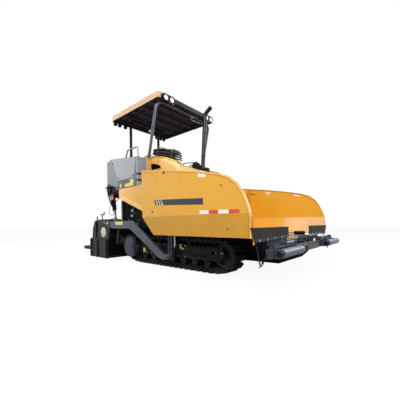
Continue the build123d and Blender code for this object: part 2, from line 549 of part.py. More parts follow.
def make_seat_cushions():
    """Seat and back cushions of the two seats, as plain closed solids."""
    low = DECK_TOP + 330 + RUN
    seat = across([(SEAT_X - 225, low), (SEAT_X + 225, low), (SEAT_X + 235, low + 120),
                   (SEAT_X - 225, low + 95)], SEAT_Y - 225, SEAT_Y + 225)
    back = across([(SEAT_X - 226, low), (SEAT_X - 226, low + 120), (SEAT_X - 265, low + 520),
                   (SEAT_X - 345, low + 520), (SEAT_X - 315, low)], SEAT_Y - 215, SEAT_Y + 215)
    return both(seat + back)


def make_front_hoop():
    """Front posts of the canopy: a leaning hoop on gusseted feet, hung from the roof by plates."""
    x, y, low, top = FRONT_POST_X, FRONT_POST_Y, DASH_TOP, FRONT_POST_X + FRONT_LEAN
    hoop = tube([(x, y, low + 12), (top, y - 20, FRONT_BAR_Z), (top, 20 - y, FRONT_BAR_Z),
                 (x, -y, low + 12)], (200, 200), POST_R)
    pieces = [hoop]
    for side in (1, -1):
        foot = sorted((side * (HOOD_Y + 5), side * (DASH_Y - 5)))
        pieces.append(block((x - 120, x + 65), foot, (low, low + 14)))
        gusset = [(x - 75, low + 13), (x + 62, low + 13), (x + 62, low + 165), (x + 18, low + 165)]
        pieces.append(across(gusset, *sorted((side * y - 6, side * y + 6))))
    for at in (-540.0, 0.0, 540.0):
        pieces.append(block((top - 30, top + 30), (at - 8, at + 8),
                            (FRONT_BAR_Z + 20, ROOF_TOP - ROOF_WALL - RUN)))
    return fuse(*pieces)


def make_rear_hoop():
    """Rear posts of the canopy: a narrow upright hoop on the deck."""
    x, y, low, radius = REAR_POST_X, REAR_POST_Y, DECK_TOP, REAR_POST_R
    high = ROOF_TOP - ROOF_WALL - RUN - radius
    hoop = tube([(x, y, low + 10), (x, y, high - 70), (x + 160, y, high), (x + 160, -y, high),
                 (x, -y, high - 70), (x, -y, low + 10)], (120, 60, 60, 120), radius)
    feet = [block((DECK_REAR, x + 70), sorted((side * (y - 75), side * (y + 75))), (low, low + 12))
            for side in (1, -1)]
    return fuse(hoop, *feet)


def make_canopy_roof():
    """Roof: a shallow tray turned down, with crosswise ribs under it."""
    rear, front, half = ROOF_REAR + ROOF_WALL, ROOF_FRONT - ROOF_WALL, ROOF_Y - ROOF_WALL
    plan = [(ROOF_REAR, -ROOF_Y), (ROOF_FRONT, -ROOF_Y), (ROOF_FRONT, ROOF_Y), (ROOF_REAR, ROOF_Y)]
    inner = [(rear, -half), (front, -half), (front, half), (rear, half)]
    roof = upward(plan, ROOF_LOW, ROOF_TOP, 70) - upward(inner, ROOF_LOW - 1, ROOF_TOP - ROOF_WALL, 55)
    for x in (ROOF_REAR + 520, ROOF_REAR + 890, ROOF_REAR + 1260, ROOF_REAR + 1630):
        roof += block((x - 20, x + 20), (-ROOF_Y + 5, ROOF_Y - 5), (ROOF_TOP - 85, ROOF_TOP - 2))
    return roof


def make_roof_lamps():
    """Lamp housings at the front corners joined by a fascia, and lamps hanging at the rear."""
    front = ROOF_FRONT + RUN
    housing = across([(front, ROOF_LOW + 10), (front + 46, ROOF_LOW + 22), (front + 60, ROOF_TOP - 5),
                      (front, ROOF_TOP)], 440, 900)
    for y in (530.0, 710.0):
        housing += bar_x(y, ROOF_LOW + 82, 64, front + 30, front + 72)
    fascia = block((front, front + 26), (-441, 441), (ROOF_LOW + 26, ROOF_TOP - 14))
    lamps = [fuse(fascia, housing, mirrored(housing))]
    for y in (ROOF_Y - 105, ROOF_Y - 235):
        hanger = block((ROOF_REAR, ROOF_REAR + ROOF_WALL), (y - 12, y + 12), (ROOF_LOW - 40, ROOF_LOW - RUN))
        lamp = bar_x(y, ROOF_LOW - 64, 52, ROOF_REAR, ROOF_REAR + 56) + hanger
        lamps += [lamp, mirrored(lamp)]
    return Compound(children=[lamp.solid() for lamp in lamps])


def make_exhaust():
    """Exhaust stack through the hood, leaning a little, its tip bent forward."""
    x, y, r = EXHAUST_X, EXHAUST_Y, EXHAUST_R
    stack = tube([(x, y, ENGINE_TOP), (x, y, DIP_REAR[1] + 60), (x + 90, y, EXHAUST_TOP - 115),
                  (x + 285, y, EXHAUST_TOP)], (300, 150), r)
    return stack + bar_z(x, y, r + 26, DIP_REAR[1] - 50, DIP_REAR[1] - 6)


def make_deck_rails():
    """Hand rails on the consoles."""
    y = CONSOLE_IN + 100
    rail = tube([(RAIL_REAR, y, CONSOLE_LOW), (RAIL_REAR + 146, y, RAIL_TOP), (RAIL_FRONT - 21, y, RAIL_TOP),
                 (RAIL_FRONT, y, CONSOLE_LOW)], (60, 40), 17)
    fall = (CONSOLE_HIGH - CONSOLE_LOW) / (CONSOLE_FRONT - CONSOLE_HIGH_X)
    feet = [bar_z(x, y, 30, CONSOLE_LOW, CONSOLE_HIGH - (x - CONSOLE_HIGH_X) * fall + 26)
            for x in (RAIL_REAR, RAIL_FRONT)]
    return both(fuse(rail, *feet) - Pos(0, 0, RUN) * make_console())


def make_tarp_roll():
    """Folded tarpaulin on the dash and the hood, as one plain closed bundle down their slope."""
    behind = HOOD_REAR - 1
    under = [(TARP_REAR, DASH_TOP + RUN), (behind, DASH_TOP + RUN), (behind, HOOD_SECTIONS[0][1] + RUN)]
    under += [(x, top + RUN) for x, top in HOOD_SECTIONS[:4]]
    upper = [(TARP_FRONT - 8, 2378), (TARP_FRONT, 2430), (TARP_FRONT - 70, 2500), (-270, 2548),
             (-570, 2682), (-820, 2745), (TARP_REAR + 20, 2800), (TARP_REAR - 15, 2770),
             (TARP_REAR - 20, 2640)]
    return across(under + upper, TARP_Y - TARP_R, TARP_Y + TARP_R)


# ------------------------------------------------------------------ tow points
def make_tow_guide():
    """Post that carries one tow point beside the track, with its levelling cylinder."""
    inner, outer = TRACK_Y + SHOE_WIDTH / 2 + 24, ARM_IN - MOVE
    middle = (inner + outer) / 2
    post = block((TOW_X - 60, TOW_X + 60), (inner, outer), (TOW_Z - 60, 880))
    post -= block((TOW_X - 22, TOW_X + 22), (outer - 20, outer + 1), (TOW_Z + 80, 700))
    bracket = across([(TOW_X - 70, 690), (TOW_X + 80, 690), (TOW_X + 80, 800), (TOW_X + 20, 900),
                      (TOW_X - 70, 900)], SIDE_OUT, outer - 4)
    pin = bar_y(TOW_X, TOW_Z, TOW_PIN - RUN, outer - 1, ARM_IN + ARM_THICK + 6)
    x = TOW_X + 115
    foot = block((TOW_X + 50, x + 38), (middle - 24, middle + 24), (420, 452))
    head = block((TOW_X + 50, x + 38), (middle - 28, middle + 28), (1040, 1075))
    plate = block((TOW_X - 60, TOW_X + 60), (inner, outer), (879, 1075))
    barrel = bar_z(x, middle, 34, 700, 1041)
    return fuse(post, bracket, pin, foot, plate, head, barrel)


def make_level_rods():
    """Polished rods of the two levelling cylinders."""
    inner, outer = TRACK_Y + SHOE_WIDTH / 2 + 24, ARM_IN - MOVE
    return both(bar_z(TOW_X + 115, (inner + outer) / 2, 17, 452, 700))


# ------------------------------------------------------------------ hopper wings
def wing_edge(inset):
    """Upper and front edge of a wing's outer wall, moved inwards by an inset."""
    moved = []
    for index, (x, z) in enumerate(WING_EDGE):
        before = WING_EDGE[max(index - 1, 0)]
        after = WING_EDGE[min(index + 1, len(WING_EDGE) - 1)]
        run, rise = after[0] - before[0], after[1] - before[1]
        reach = math.hypot(run, rise)
        moved.append((x + inset * rise / reach, z - inset * run / reach))
    return moved


def wing_side():
    """Side outline of a wing's outer wall: rim, front edge, sloped foot and rear edge."""
    return [*WING_EDGE, (WING_FRONT, HINGE_Z - 12), (130, HINGE_Z - 12), (WING_REAR + 10, CREASE_Z)]


def make_wing(knuckles):
    """Hopper wing: floor, sloped foot, outer wall with its rolled rim, and rear panel."""
    inner, low = HINGE_Y + KNUCKLE_R + MOVE, HINGE_Z - WING_THICK / 2
    t, tall = WING_THICK, WING_EDGE[0][1] + 25
    section = [(inner, low), (WING_LOW_Y, low), (WING_Y, CREASE_Z), (WING_Y, tall), (WING_Y - t, tall),
               (WING_Y - t, CREASE_Z + 2), (WING_LOW_Y - 8, low + t), (inner, low + t)]
    trough = along(section, WING_REAR, WING_FRONT)
    keep = across(wing_side(), inner - 1, WING_Y + 1, WING_BENDS)
    wing = trough & keep
    wing -= block((WING_REAR - 1, WING_FLOOR_REAR), (inner - 1, WING_LOW_Y - 20), (low - 1, low + t + 1))
    rim = across(wing_side(), WING_Y - RIM, WING_Y, WING_BENDS)
    edge = wing_edge(RIM_THICK)
    hollow = [*edge, (WING_FRONT - RIM_THICK, 300), (WING_REAR - 50, 300), (WING_REAR - 50, edge[0][1])]
    rim -= across(hollow, WING_Y - RIM - 1, WING_Y + 1)
    rim = rim & block((WING_REAR, WING_FRONT), (WING_Y - RIM, WING_Y), (CREASE_Z, tall))
    rear = along([(inner + 20, low + 1), (WING_LOW_Y - 2, low + 1), (WING_Y - 3, CREASE_Z),
                  (WING_Y - 3, 1845), (1060, 1800), (inner + 20, low + 90)],
                 WING_FLOOR_REAR, WING_FLOOR_REAR + t)
    wing = fuse(wing, rim, rear)
    for start, end in knuckles:
        wing += fuse(bar_x(HINGE_Y, HINGE_Z, KNUCKLE_R, start, end),
                     block((start, end), (HINGE_Y + 10, inner + 30), (low, low + t)))
    wing -= bar_x(HINGE_Y, HINGE_Z, HINGE_PIN + RUN, WING_FLOOR_REAR, WING_FRONT)
    return wing


def make_flap():
    """Rubber apron across the front of one wing."""
    return along([(FLAP_IN, FLAP_LOW + 18), (FLAP_IN, FLAP_TOP), (WING_Y + 34, FLAP_TOP),
                  (WING_Y - 78, FLAP_LOW)], WING_FRONT + RUN, WING_FRONT + RUN + FLAP_THICK)


def make_flap_bar():
    """Steel clamp bar along the foot of one apron, with its bolts."""
    front = WING_FRONT + RUN + FLAP_THICK
    bar = along([(FLAP_IN, FLAP_LOW + 18), (FLAP_IN, FLAP_LOW + 56), (WING_Y - 56, FLAP_LOW + 40),
                 (WING_Y - 78, FLAP_LOW)], front, front + 8)
    for share in range(5):
        bar += bar_x(FLAP_IN + 90 + share * 235, FLAP_LOW + 38 - share * 4, 15, front + 7, front + 18)
    return bar


# ------------------------------------------------------------------ push beam
def make_push_beam():
    """Pivoting front beam with cheek plates that carry the push rollers."""
    front = BEAM_BACK + BEAM_DEPTH
    beam = block((BEAM_BACK, front), (-PUSH_OUT - 30, PUSH_OUT + 30), (BEAM_LOW, BEAM_HIGH))
    pieces = [beam]
    eye = upward([(PIVOT_X - 58, -50), (BEAM_BACK + 1, -170), (BEAM_BACK + 1, 170), (PIVOT_X - 58, 50)],
                 BEAM_LOW, BEAM_HIGH)
    pieces.append(eye)
    cheek = [(BEAM_BACK, BEAM_LOW), (PUSH_ROLLER_X - 10, BEAM_LOW), (PUSH_ROLLER_X + 46, PUSH_ROLLER_Z - 20),
             (PUSH_ROLLER_X + 46, PUSH_ROLLER_Z + 20), (PUSH_ROLLER_X - 10, BEAM_HIGH + 10),
             (BEAM_BACK, BEAM_HIGH + 10)]
    for side in (1, -1):
        for low, high in ((PUSH_IN - MOVE - 30, PUSH_IN - MOVE), (PUSH_OUT + MOVE, PUSH_OUT + MOVE + 30)):
            pieces.append(across(cheek, *sorted((side * low, side * high)), [1, 30, 20, 20, 30, 1]))
        pieces.append(bar_y(PUSH_ROLLER_X, PUSH_ROLLER_Z, 20,
                            *sorted((side * (PUSH_IN - MOVE - 34), side * (PUSH_OUT + MOVE + 34)))))
    centre = block((BEAM_BACK + 1, front + 60), (-300, 300), (BEAM_LOW + 15, BEAM_HIGH - 25))
    pieces.append(centre)
    beam = fuse(*pieces)
    return beam - bar_z(PIVOT_X, 0, PIVOT_R, BEAM_LOW - 1, BEAM_HIGH + 1)


def make_push_roller():
    """Push roller, bored for its axle."""
    roller = bar_y(PUSH_ROLLER_X, PUSH_ROLLER_Z, PUSH_ROLLER_R, PUSH_IN, PUSH_OUT)
    return roller - bar_y(PUSH_ROLLER_X, PUSH_ROLLER_Z, 20 + RUN, PUSH_IN - 1, PUSH_OUT + 1)


# ------------------------------------------------------------------ augers
def make_auger():
    """Auger half: a shaft with a screw flight of flat spans that winds outwards."""
    length = AUGER_OUT - AUGER_IN - 40
    turns = length / AUGER_PITCH
    count = round(turns * FLIGHT_STEPS)
    inner, outer = AUGER_SHAFT - 10, AUGER_R
    sections = []
    for step in range(count + 1):
        angle = 2 * math.pi * turns * step / count
        y = AUGER_IN + 20 + length * step / count
        radial = (math.cos(angle), 0, math.sin(angle))
        plane = Plane(origin=(AUGER_X, y, AUGER_Z), x_dir=radial, z_dir=(-radial[2], 0, radial[0]))
        sections.append(plane * outline([(inner, -FLIGHT / 2), (outer, -FLIGHT / 2), (outer, FLIGHT / 2),
                                         (inner, FLIGHT / 2)]))
    return loft(sections, ruled=True) + bar_y(AUGER_X, AUGER_Z, AUGER_SHAFT, AUGER_IN, AUGER_OUT)


def make_auger_support():
    """Cross tube behind the tractor with the augers' middle gearbox and outer hangers."""
    tube_z, thick = 830.0, 20.0
    beam = block((CHASSIS_REAR - 170, CHASSIS_REAR - 70), (-AUGER_OUT - 20, AUGER_OUT + 20),
                 (tube_z - 50, tube_z + 50))
    pieces = [beam]
    for y in (-SIDE_OUT + 20, SIDE_OUT - 20):
        pieces.append(block((CHASSIS_REAR - 71, CHASSIS_REAR), (y - 20, y + 20), (tube_z - 45, tube_z + 45)))
    pieces.append(across([(AUGER_X - 60, AUGER_Z), (AUGER_X, AUGER_Z - 80), (AUGER_X + 60, AUGER_Z),
                          (CHASSIS_REAR - 90, tube_z - 49), (CHASSIS_REAR - 150, tube_z - 49)],
                         -AUGER_IN + 22, AUGER_IN - 22))
    pieces.append(bar_y(AUGER_X, AUGER_Z, AUGER_SHAFT + 14, -AUGER_IN + RUN, AUGER_IN - RUN))
    for side in (1, -1):
        low, high = AUGER_OUT + MOVE, AUGER_OUT + MOVE + thick
        pieces.append(across([(AUGER_X - 50, AUGER_Z - 40), (AUGER_X + 50, AUGER_Z - 40),
                              (CHASSIS_REAR - 71, tube_z + 49), (CHASSIS_REAR - 169, tube_z + 49)],
                             *sorted((side * low, side * high))))
    return fuse(*pieces)


# ------------------------------------------------------------------ screed
def make_screed_main():
    """Main screed: sole box, upper housing between cheek plates, and the extension guides."""
    lower = across([(SCREED_FRONT - 40, 0), (SCREED_FRONT, 60), (SCREED_FRONT, 540), (SCREED_REAR, 540),
                    (SCREED_REAR, 0)], -SCREED_Y, SCREED_Y)
    upper = across([(SCREED_FRONT - 40, 539), (SCREED_FRONT - 10, SCREED_TOP - 30),
                    (SCREED_FRONT - 40, SCREED_TOP), (SCREED_REAR, SCREED_TOP), (SCREED_REAR, 539)],
                   -ARM_IN + 1, ARM_IN - 1)
    pieces = [lower, upper]
    cheek = [(SCREED_FRONT + 5, 539), (SCREED_FRONT + 80, 800), (CHEEK_PLATE_X, 830),
             (CHEEK_PLATE_X, SCREED_TOP - 6),
             (SCREED_REAR, SCREED_TOP + 6), (SCREED_REAR, 539)]
    for side in (1, -1):
        pieces.append(across(cheek, *sorted((side * (ARM_IN - 8), side * SCREED_Y))))
        for z in GUIDE_ZS:
            pieces.append(block((GUIDE_X - 40, SCREED_REAR + 1),
                                sorted((side * (SCREED_Y - 60), side * (SCREED_Y - 20))), (z - 45, z + 45)))
        x, y = SCREED_REAR + 40, side * (ARM_IN - 60)
        pieces += [bar_z(x, y, 14, SCREED_TOP - 1, 1190), bar_y(x, 1180, 12, y - 60, y + 60),
                   bar_z(x, y - side * 55, 16, 1170, 1260)]
    for z in GUIDE_ZS:
        pieces.append(block((GUIDE_X - 40, SCREED_REAR + 1), (-18, 18), (z - 45, z + 45)))
        pieces.append(bar_y(GUIDE_X, z, GUIDE_R - RUN, -SCREED_Y + 22, SCREED_Y - 22))
    return fuse(*pieces)


def make_extension():
    """Extending screed section with its sole, rear cover, guide sleeves and end plate."""
    body = across([(EXT_FRONT, 0), (EXT_FRONT, 985), (EXT_FRONT - 45, 1020), (-3140, 810), (-3195, 430),
                   (EXT_REAR, 400), (EXT_REAR, 0)], EXT_IN, SCREED_Y + MOVE)
    pieces = [body]
    for z in GUIDE_ZS:
        pieces.append(block((EXT_FRONT - 1, GUIDE_X + GUIDE_R + 14), (EXT_IN + 10, EXT_IN + 420),
                            (z - GUIDE_R - 14, z + GUIDE_R + 14)))
    plate = [(EXT_REAR, 0), (SCREED_FRONT + 6, 0), (SCREED_FRONT + 6, 525), (EXT_REAR + 20, 525),
             (EXT_REAR, 400)]
    gate = across(plate, SCREED_Y + MOVE - 1, SCREED_Y + MOVE + END_PLATE)
    for x in (BOLT_X - BOLT_SPAN_X / 2, BOLT_X + BOLT_SPAN_X / 2):
        for z in (BOLT_Z - BOLT_SPAN_Z / 2, BOLT_Z + BOLT_SPAN_Z / 2):
            gate -= bar_y(x, z, BOLT_R, SCREED_Y, SCREED_Y + MOVE + END_PLATE + 1)
    pieces.append(gate)
    for x in (SCREED_FRONT - 20, SCREED_REAR + 40, EXT_REAR + 60):
        pieces.append(block((x - 22, x), (SCREED_Y + MOVE + END_PLATE - 1, SCREED_Y + MOVE + END_PLATE + 34),
                            (0, 500)))
    extension = fuse(*pieces)
    for z in GUIDE_ZS:
        extension -= bar_y(GUIDE_X, z, GUIDE_R, EXT_IN, EXT_IN + 450)
    return extension


def make_walkway():
    """Step grating behind one extension: a frame with tread bars on two brackets."""
    low, high = EXT_IN + 20, SCREED_Y - 30
    frame = block((WALK_REAR, EXT_REAR), (low, high), (WALK_LOW, WALK_HIGH))
    frame -= block((WALK_REAR + 40, EXT_REAR - 40), (low + 40, high - 40), (WALK_LOW - 1, WALK_HIGH + 1))
    count = 6
    step = (EXT_REAR - WALK_REAR - 80) / count
    for index in range(1, count):
        x = WALK_REAR + 40 + step * index
        frame += block((x - 9, x + 9), (low + 20, high - 20), (WALK_HIGH - 45, WALK_HIGH - 4))
    return frame


def make_tow_arm():
    """Side arm from the tow point back to the screed, with the lift cylinder's lug."""
    arm = across([(CHEEK_PLATE_X + RUN, 835), (CHEEK_PLATE_X + RUN, 985), (-1150, 985), (-30, 272),
                  (160, 300), (190, 235), (135, 172), (-60, 172), (-185, 190), (-585, 430), (-1260, 800),
                  (-2040, 800)], ARM_IN, ARM_IN + ARM_THICK, [1, 1, 90, 60, 20, 30, 30, 40, 40, 60, 90, 1])
    arm -= bar_y(TOW_X, TOW_Z, TOW_PIN, ARM_IN - 1, ARM_IN + ARM_THICK + 1)
    middle = ARM_IN + ARM_THICK / 2
    x, z = LIFT_EYE_X, LIFT_EYE_Z
    for low, high in ((ARM_IN, middle - 16), (middle + 16, ARM_IN + ARM_THICK)):
        arm += across([(x - 60, 984), (x + 60, 984), (x + 26, z + 26), (x - 26, z + 26)], low, high)
    return arm + bar_y(x, z, EYE_PIN - 8, ARM_IN + 1, ARM_IN + ARM_THICK - 1)


# ------------------------------------------------------------------ lift cylinders
def lift_frame():
    """Plane at the lift cylinder's upper pin, its +Z down along the cylinder."""
    middle = ARM_IN + ARM_THICK / 2
    return Plane(origin=(LIFT_TOP_X, middle, LIFT_TOP_Z), x_dir=(0, 1, 0),
                 z_dir=(LIFT_EYE_X - LIFT_TOP_X, 0, LIFT_EYE_Z - LIFT_TOP_Z))


def lift_length():
    """Distance between the lift cylinder's pins as it stands."""
    return math.hypot(LIFT_EYE_X - LIFT_TOP_X, LIFT_EYE_Z - LIFT_TOP_Z)


def make_lift_barrel():
    """Cylinder tube with its upper eye, bored for the rod."""
    barrel = Pos(0, 0, (60 + BARREL_LONG) / 2) * Cylinder(BARREL_R, BARREL_LONG - 60)
    barrel += Pos(0, 0, 30) * Box(34, 44, 70)
    barrel += Rot(0, 90, 0) * Cylinder(34, 34)
    barrel -= Rot(0, 90, 0) * Cylinder(EYE_PIN + RUN, 60)
    start = lift_length() - LIFT_STROKE - 300
    barrel -= Pos(0, 0, (start + BARREL_LONG + 1) / 2) * Cylinder(ROD_R + RUN, BARREL_LONG + 1 - start)
    return lift_frame() * barrel


def make_lift_rod():
    """Rod with its lower eye, whose slack lets the screed float."""
    end, start = lift_length(), lift_length() - 290
    rod = Pos(0, 0, (start + end - ROD_NECK) / 2) * Cylinder(ROD_R, end - ROD_NECK - start)
    rod += Pos(0, 0, end - 34) * Box(28, 40, 48)
    rod += Pos(0, 0, end) * (Rot(0, 90, 0) * Cylinder(36, 28))
    rod -= Pos(0, 0, end) * (Rot(0, 90, 0) * Cylinder(EYE_PIN - 8 + EYE_SLACK, 60))
    return lift_frame() * rod


# ------------------------------------------------------------------ assembly
def make_nodes():
    """Every node of the machine by name."""
    lugs, knuckles = hinge_spans()
    pairs = {
        "track": make_track(), "wing": make_wing(knuckles), "wing_flap": make_flap(),
        "flap_bar": make_flap_bar(), "push_roller": make_push_roller(), "auger": make_auger(),
        "extension": make_extension(), "walkway": make_walkway(), "tow_arm": make_tow_arm(),
        "lift_barrel": make_lift_barrel(), "lift_rod": make_lift_rod(), "track_frame": make_track_frame(),
        "console": make_console(),
    }
    nodes = {
        "main_frame": make_main_frame(), "hopper_back": make_hopper_back(), "conveyor": make_conveyor(),
        "wing_hinge_pins": both(wing_hinge(lugs)), "engine_block": make_engine_block(),
        "track_wheels": both(make_track_wheels()), "drive_guards": both(make_drive_guard()),
        "tanks": both(make_tank()), "flanks": both(make_flank()), "hood": make_hood(),
        "platform": make_platform(), "dash": make_dash(), "seat_bases": make_seat_bases(),
        "seat_cushions": make_seat_cushions(), "front_hoop": make_front_hoop(),
        "rear_hoop": make_rear_hoop(), "canopy_roof": make_canopy_roof(), "roof_lamps": make_roof_lamps(),
        "exhaust": make_exhaust(), "deck_rails": make_deck_rails(), "tarp_roll": make_tarp_roll(),
        "tow_guides": both(make_tow_guide()), "level_rods": make_level_rods(),
        "push_beam": make_push_beam(), "auger_support": make_auger_support(),
        "screed_main": make_screed_main(),
    }
    for name, piece in pairs.items():
        nodes[name + "_left"] = piece
        nodes[name + "_right"] = mirrored(piece)
    return nodes


def main():
    """Write one STEP file for each node, with the origin under the middle of the length."""
    os.makedirs("parts", exist_ok=True)
    middle = (PUSH_ROLLER_X + PUSH_ROLLER_R + WALK_REAR) / 2
    for name, piece in make_nodes().items():
        export_step(Pos(-middle, 0, 0) * piece, os.path.join("parts", name + ".step"))


main()
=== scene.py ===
"""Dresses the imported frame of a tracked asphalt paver.

Shapes are drawn in millimetres in the machine's own axes: X forward from the middle of the
tracks, Y to the machine's left and Z up from the ground.  Shape.piece moves them into the
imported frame, which is in metres with its origin under the middle of the machine's length.
"""

from __future__ import annotations

import json
import logging
import math
import random
from dataclasses import dataclass
from enum import Enum
from functools import lru_cache
from typing import Iterable, Sequence

import bmesh
import bpy
from mathutils import Matrix, Vector

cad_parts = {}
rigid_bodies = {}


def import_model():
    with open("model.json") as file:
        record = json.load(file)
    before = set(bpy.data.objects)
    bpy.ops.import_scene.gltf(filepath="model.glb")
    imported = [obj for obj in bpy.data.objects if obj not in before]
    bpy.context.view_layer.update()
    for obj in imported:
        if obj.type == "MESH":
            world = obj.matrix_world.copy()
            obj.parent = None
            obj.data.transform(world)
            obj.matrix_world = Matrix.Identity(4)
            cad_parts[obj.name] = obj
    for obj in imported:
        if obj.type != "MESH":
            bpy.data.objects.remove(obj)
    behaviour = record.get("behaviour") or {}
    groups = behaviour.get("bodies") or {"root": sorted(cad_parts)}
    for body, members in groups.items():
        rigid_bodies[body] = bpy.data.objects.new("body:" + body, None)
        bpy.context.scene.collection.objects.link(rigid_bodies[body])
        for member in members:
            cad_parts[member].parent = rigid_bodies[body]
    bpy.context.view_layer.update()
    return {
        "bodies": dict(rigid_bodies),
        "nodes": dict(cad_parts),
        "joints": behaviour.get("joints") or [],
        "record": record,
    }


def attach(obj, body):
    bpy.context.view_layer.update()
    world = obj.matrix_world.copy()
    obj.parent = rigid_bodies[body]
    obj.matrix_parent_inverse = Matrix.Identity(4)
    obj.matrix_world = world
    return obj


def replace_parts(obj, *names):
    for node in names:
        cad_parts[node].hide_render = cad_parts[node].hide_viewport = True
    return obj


LOG = logging.getLogger("paver")
MM = 0.001
MIDDLE = 585.0          # machine's X = 0 lies this far in front of the frame's origin
PROUD = 1.2             # thickness of a label or a strip of tape
DUST_COLOUR = "#A39C90"
COAT_ROUGHNESS = 0.12
DUST_ROUGHNESS = 0.35   # what full dust adds to a finish's roughness
CUSHION_VOXEL = 0.009   # size of a cushion's cells, in metres
CUSHION_PRESSURE = 4.0
CUSHION_SWELL = 0.014   # farthest that a cushion's skin moves, in metres
SWELL_FRAMES = 20       # frames of the cushions' cloth simulation
DECK_Z = 1780.0         # deck's floor over the ground

Point = Sequence[float]
Outline = Sequence[Sequence[float]]
Sockets = Iterable[tuple[str, str, object]]


def placed(point: Point) -> Vector:
    """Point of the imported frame, in metres, for a point of the machine in millimetres."""
    return Vector(((point[0] + MIDDLE) * MM, point[1] * MM, point[2] * MM))


def linear(colour: str) -> tuple[float, float, float, float]:
    """Linear colour of a hexadecimal sRGB one.

    Args:
        colour: Six hexadecimal digits after a hash.

    Returns:
        Red, green, blue and an alpha of one.
    """
    parts = [int(colour[i:i + 2], 16) / 255 for i in (1, 3, 5)]
    return (*[p / 12.92 if p <= 0.04045 else ((p + 0.055) / 1.055) ** 2.4 for p in parts], 1.0)


class Side(Enum):
    """The machine's two sides, with the sign of Y on each."""

    LEFT = 1
    RIGHT = -1

    @property
    def word(self) -> str:
        """Side's name as it stands in node and body names."""
        return self.name.lower()


class Axis(Enum):
    """Direction along which an outline is drawn out."""

    X = "x"
    Y = "y"
    Z = "z"


class Slot(Enum):
    """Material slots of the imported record."""

    YELLOW = "yellow_paint"
    ROOF = "roof_paint"
    SLATE = "slate_paint"
    BLACK = "black_paint"
    SHELL = "grey_shell"
    CABINET = "cabinet_paint"
    TRACK = "track_steel"
    CONVEYOR = "conveyor_steel"
    FLAP = "flap_rubber"
    BRIGHT = "bright_rod"
    ZINC = "zinc_steel"
    VINYL = "seat_vinyl"
    TARP = "tarpaulin"
    ENGINE = "engine_iron"
    LAMP = "lamp_body"


# ---------------------------------------------------------------------------- shader helpers
# A new tree, a graph on it, and its input and output nodes.
Opened = tuple[bpy.types.NodeTree, "Graph", bpy.types.Node, bpy.types.Node]


class Graph:
    """Adds nodes to a shader or geometry tree and links them."""

    def __init__(self, tree: bpy.types.NodeTree) -> None:
        """Keep the tree to build in."""
        self.tree = tree

    @property
    def shader(self) -> bpy.types.Node:
        """The material's own Principled node."""
        return self.tree.nodes["Principled BSDF"]

    def put(self, socket: bpy.types.NodeSocket, value: object) -> None:
        """Link a socket to another one, or set its own value."""
        if isinstance(value, bpy.types.NodeSocket):
            self.tree.links.new(value, socket)
        else:
            socket.default_value = value

    def fill(self, node: bpy.types.Node, inputs: dict[object, object]) -> None:
        """Link or set a node's inputs, given by name or number."""
        for key, value in inputs.items():
            self.put(node.inputs[key], value)

    def add(self, kind: str, inputs: dict[object, object] | None = None, **values: object) -> bpy.types.Node:
        """Add a node.

        Args:
            kind: Type of the node.
            inputs: Sockets or values of its inputs, by name or number.
            values: Properties of the node.

        Returns:
            The node.
        """
        node = self.tree.nodes.new(kind)
        for key, value in values.items():
            setattr(node, key, value)
        self.fill(node, inputs or {})
        return node

    def math(self, operation: str, first: object, second: object = 0.0,
             clamp: bool = False) -> bpy.types.NodeSocket:
        """Result of a Math node."""
        return self.add("ShaderNodeMath", {0: first, 1: second}, operation=operation,
                        use_clamp=clamp).outputs[0]

    def mix(self, share: object, first: object, second: object) -> bpy.types.NodeSocket:
        """Blend of two colours."""
        colours = {0: share, 6: first, 7: second}
        return self.add("ShaderNodeMix", colours, data_type="RGBA", clamp_factor=True).outputs[2]

    def noise(self, vector: object, scale: object, detail: float = 3.0) -> bpy.types.NodeSocket:
        """Value of a Noise Texture."""
        return self.add("ShaderNodeTexNoise", {"Detail": detail, "Vector": vector, "Scale": scale}).outputs[0]

    def span(self, value: object, low: object, high: object, start: object = 0.0,
             end: object = 1.0) -> bpy.types.NodeSocket:
        """Value from low to high, spread smoothly over start to end."""
        inputs = dict(enumerate((value, low, high, start, end)))
        return self.add("ShaderNodeMapRange", inputs, interpolation_type="SMOOTHSTEP").outputs[0]

    def bump(self, height: object, strength: float, distance: float) -> bpy.types.NodeSocket:
        """Normal of a surface raised by a height."""
        return self.add("ShaderNodeBump",
                        {"Strength": strength, "Distance": distance, "Height": height}).outputs[0]

    def spot(self) -> bpy.types.NodeSocket:
        """Object coordinates."""
        return self.add("ShaderNodeTexCoord").outputs["Object"]


def new_group(name: str, kind: str, inputs: Sockets, outputs: Iterable[tuple[str, str]]) -> Opened:
    """Empty node group.

    Args:
        name: Group's name.
        kind: Type of its tree.
        inputs: Name, socket kind and first value of each input.
        outputs: Name and socket kind of each output.

    Returns:
        The group, a graph on it, and its input and output nodes.
    """
    tree = bpy.data.node_groups.new(name, kind)
    for label, socket_kind, value in inputs:
        socket = tree.interface.new_socket(name=label, in_out="INPUT", socket_type=socket_kind)
        if value is not None:
            socket.default_value = value
    for label, socket_kind in outputs:
        tree.interface.new_socket(name=label, in_out="OUTPUT", socket_type=socket_kind)
    graph = Graph(tree)
    return tree, graph, graph.add("NodeGroupInput"), graph.add("NodeGroupOutput")


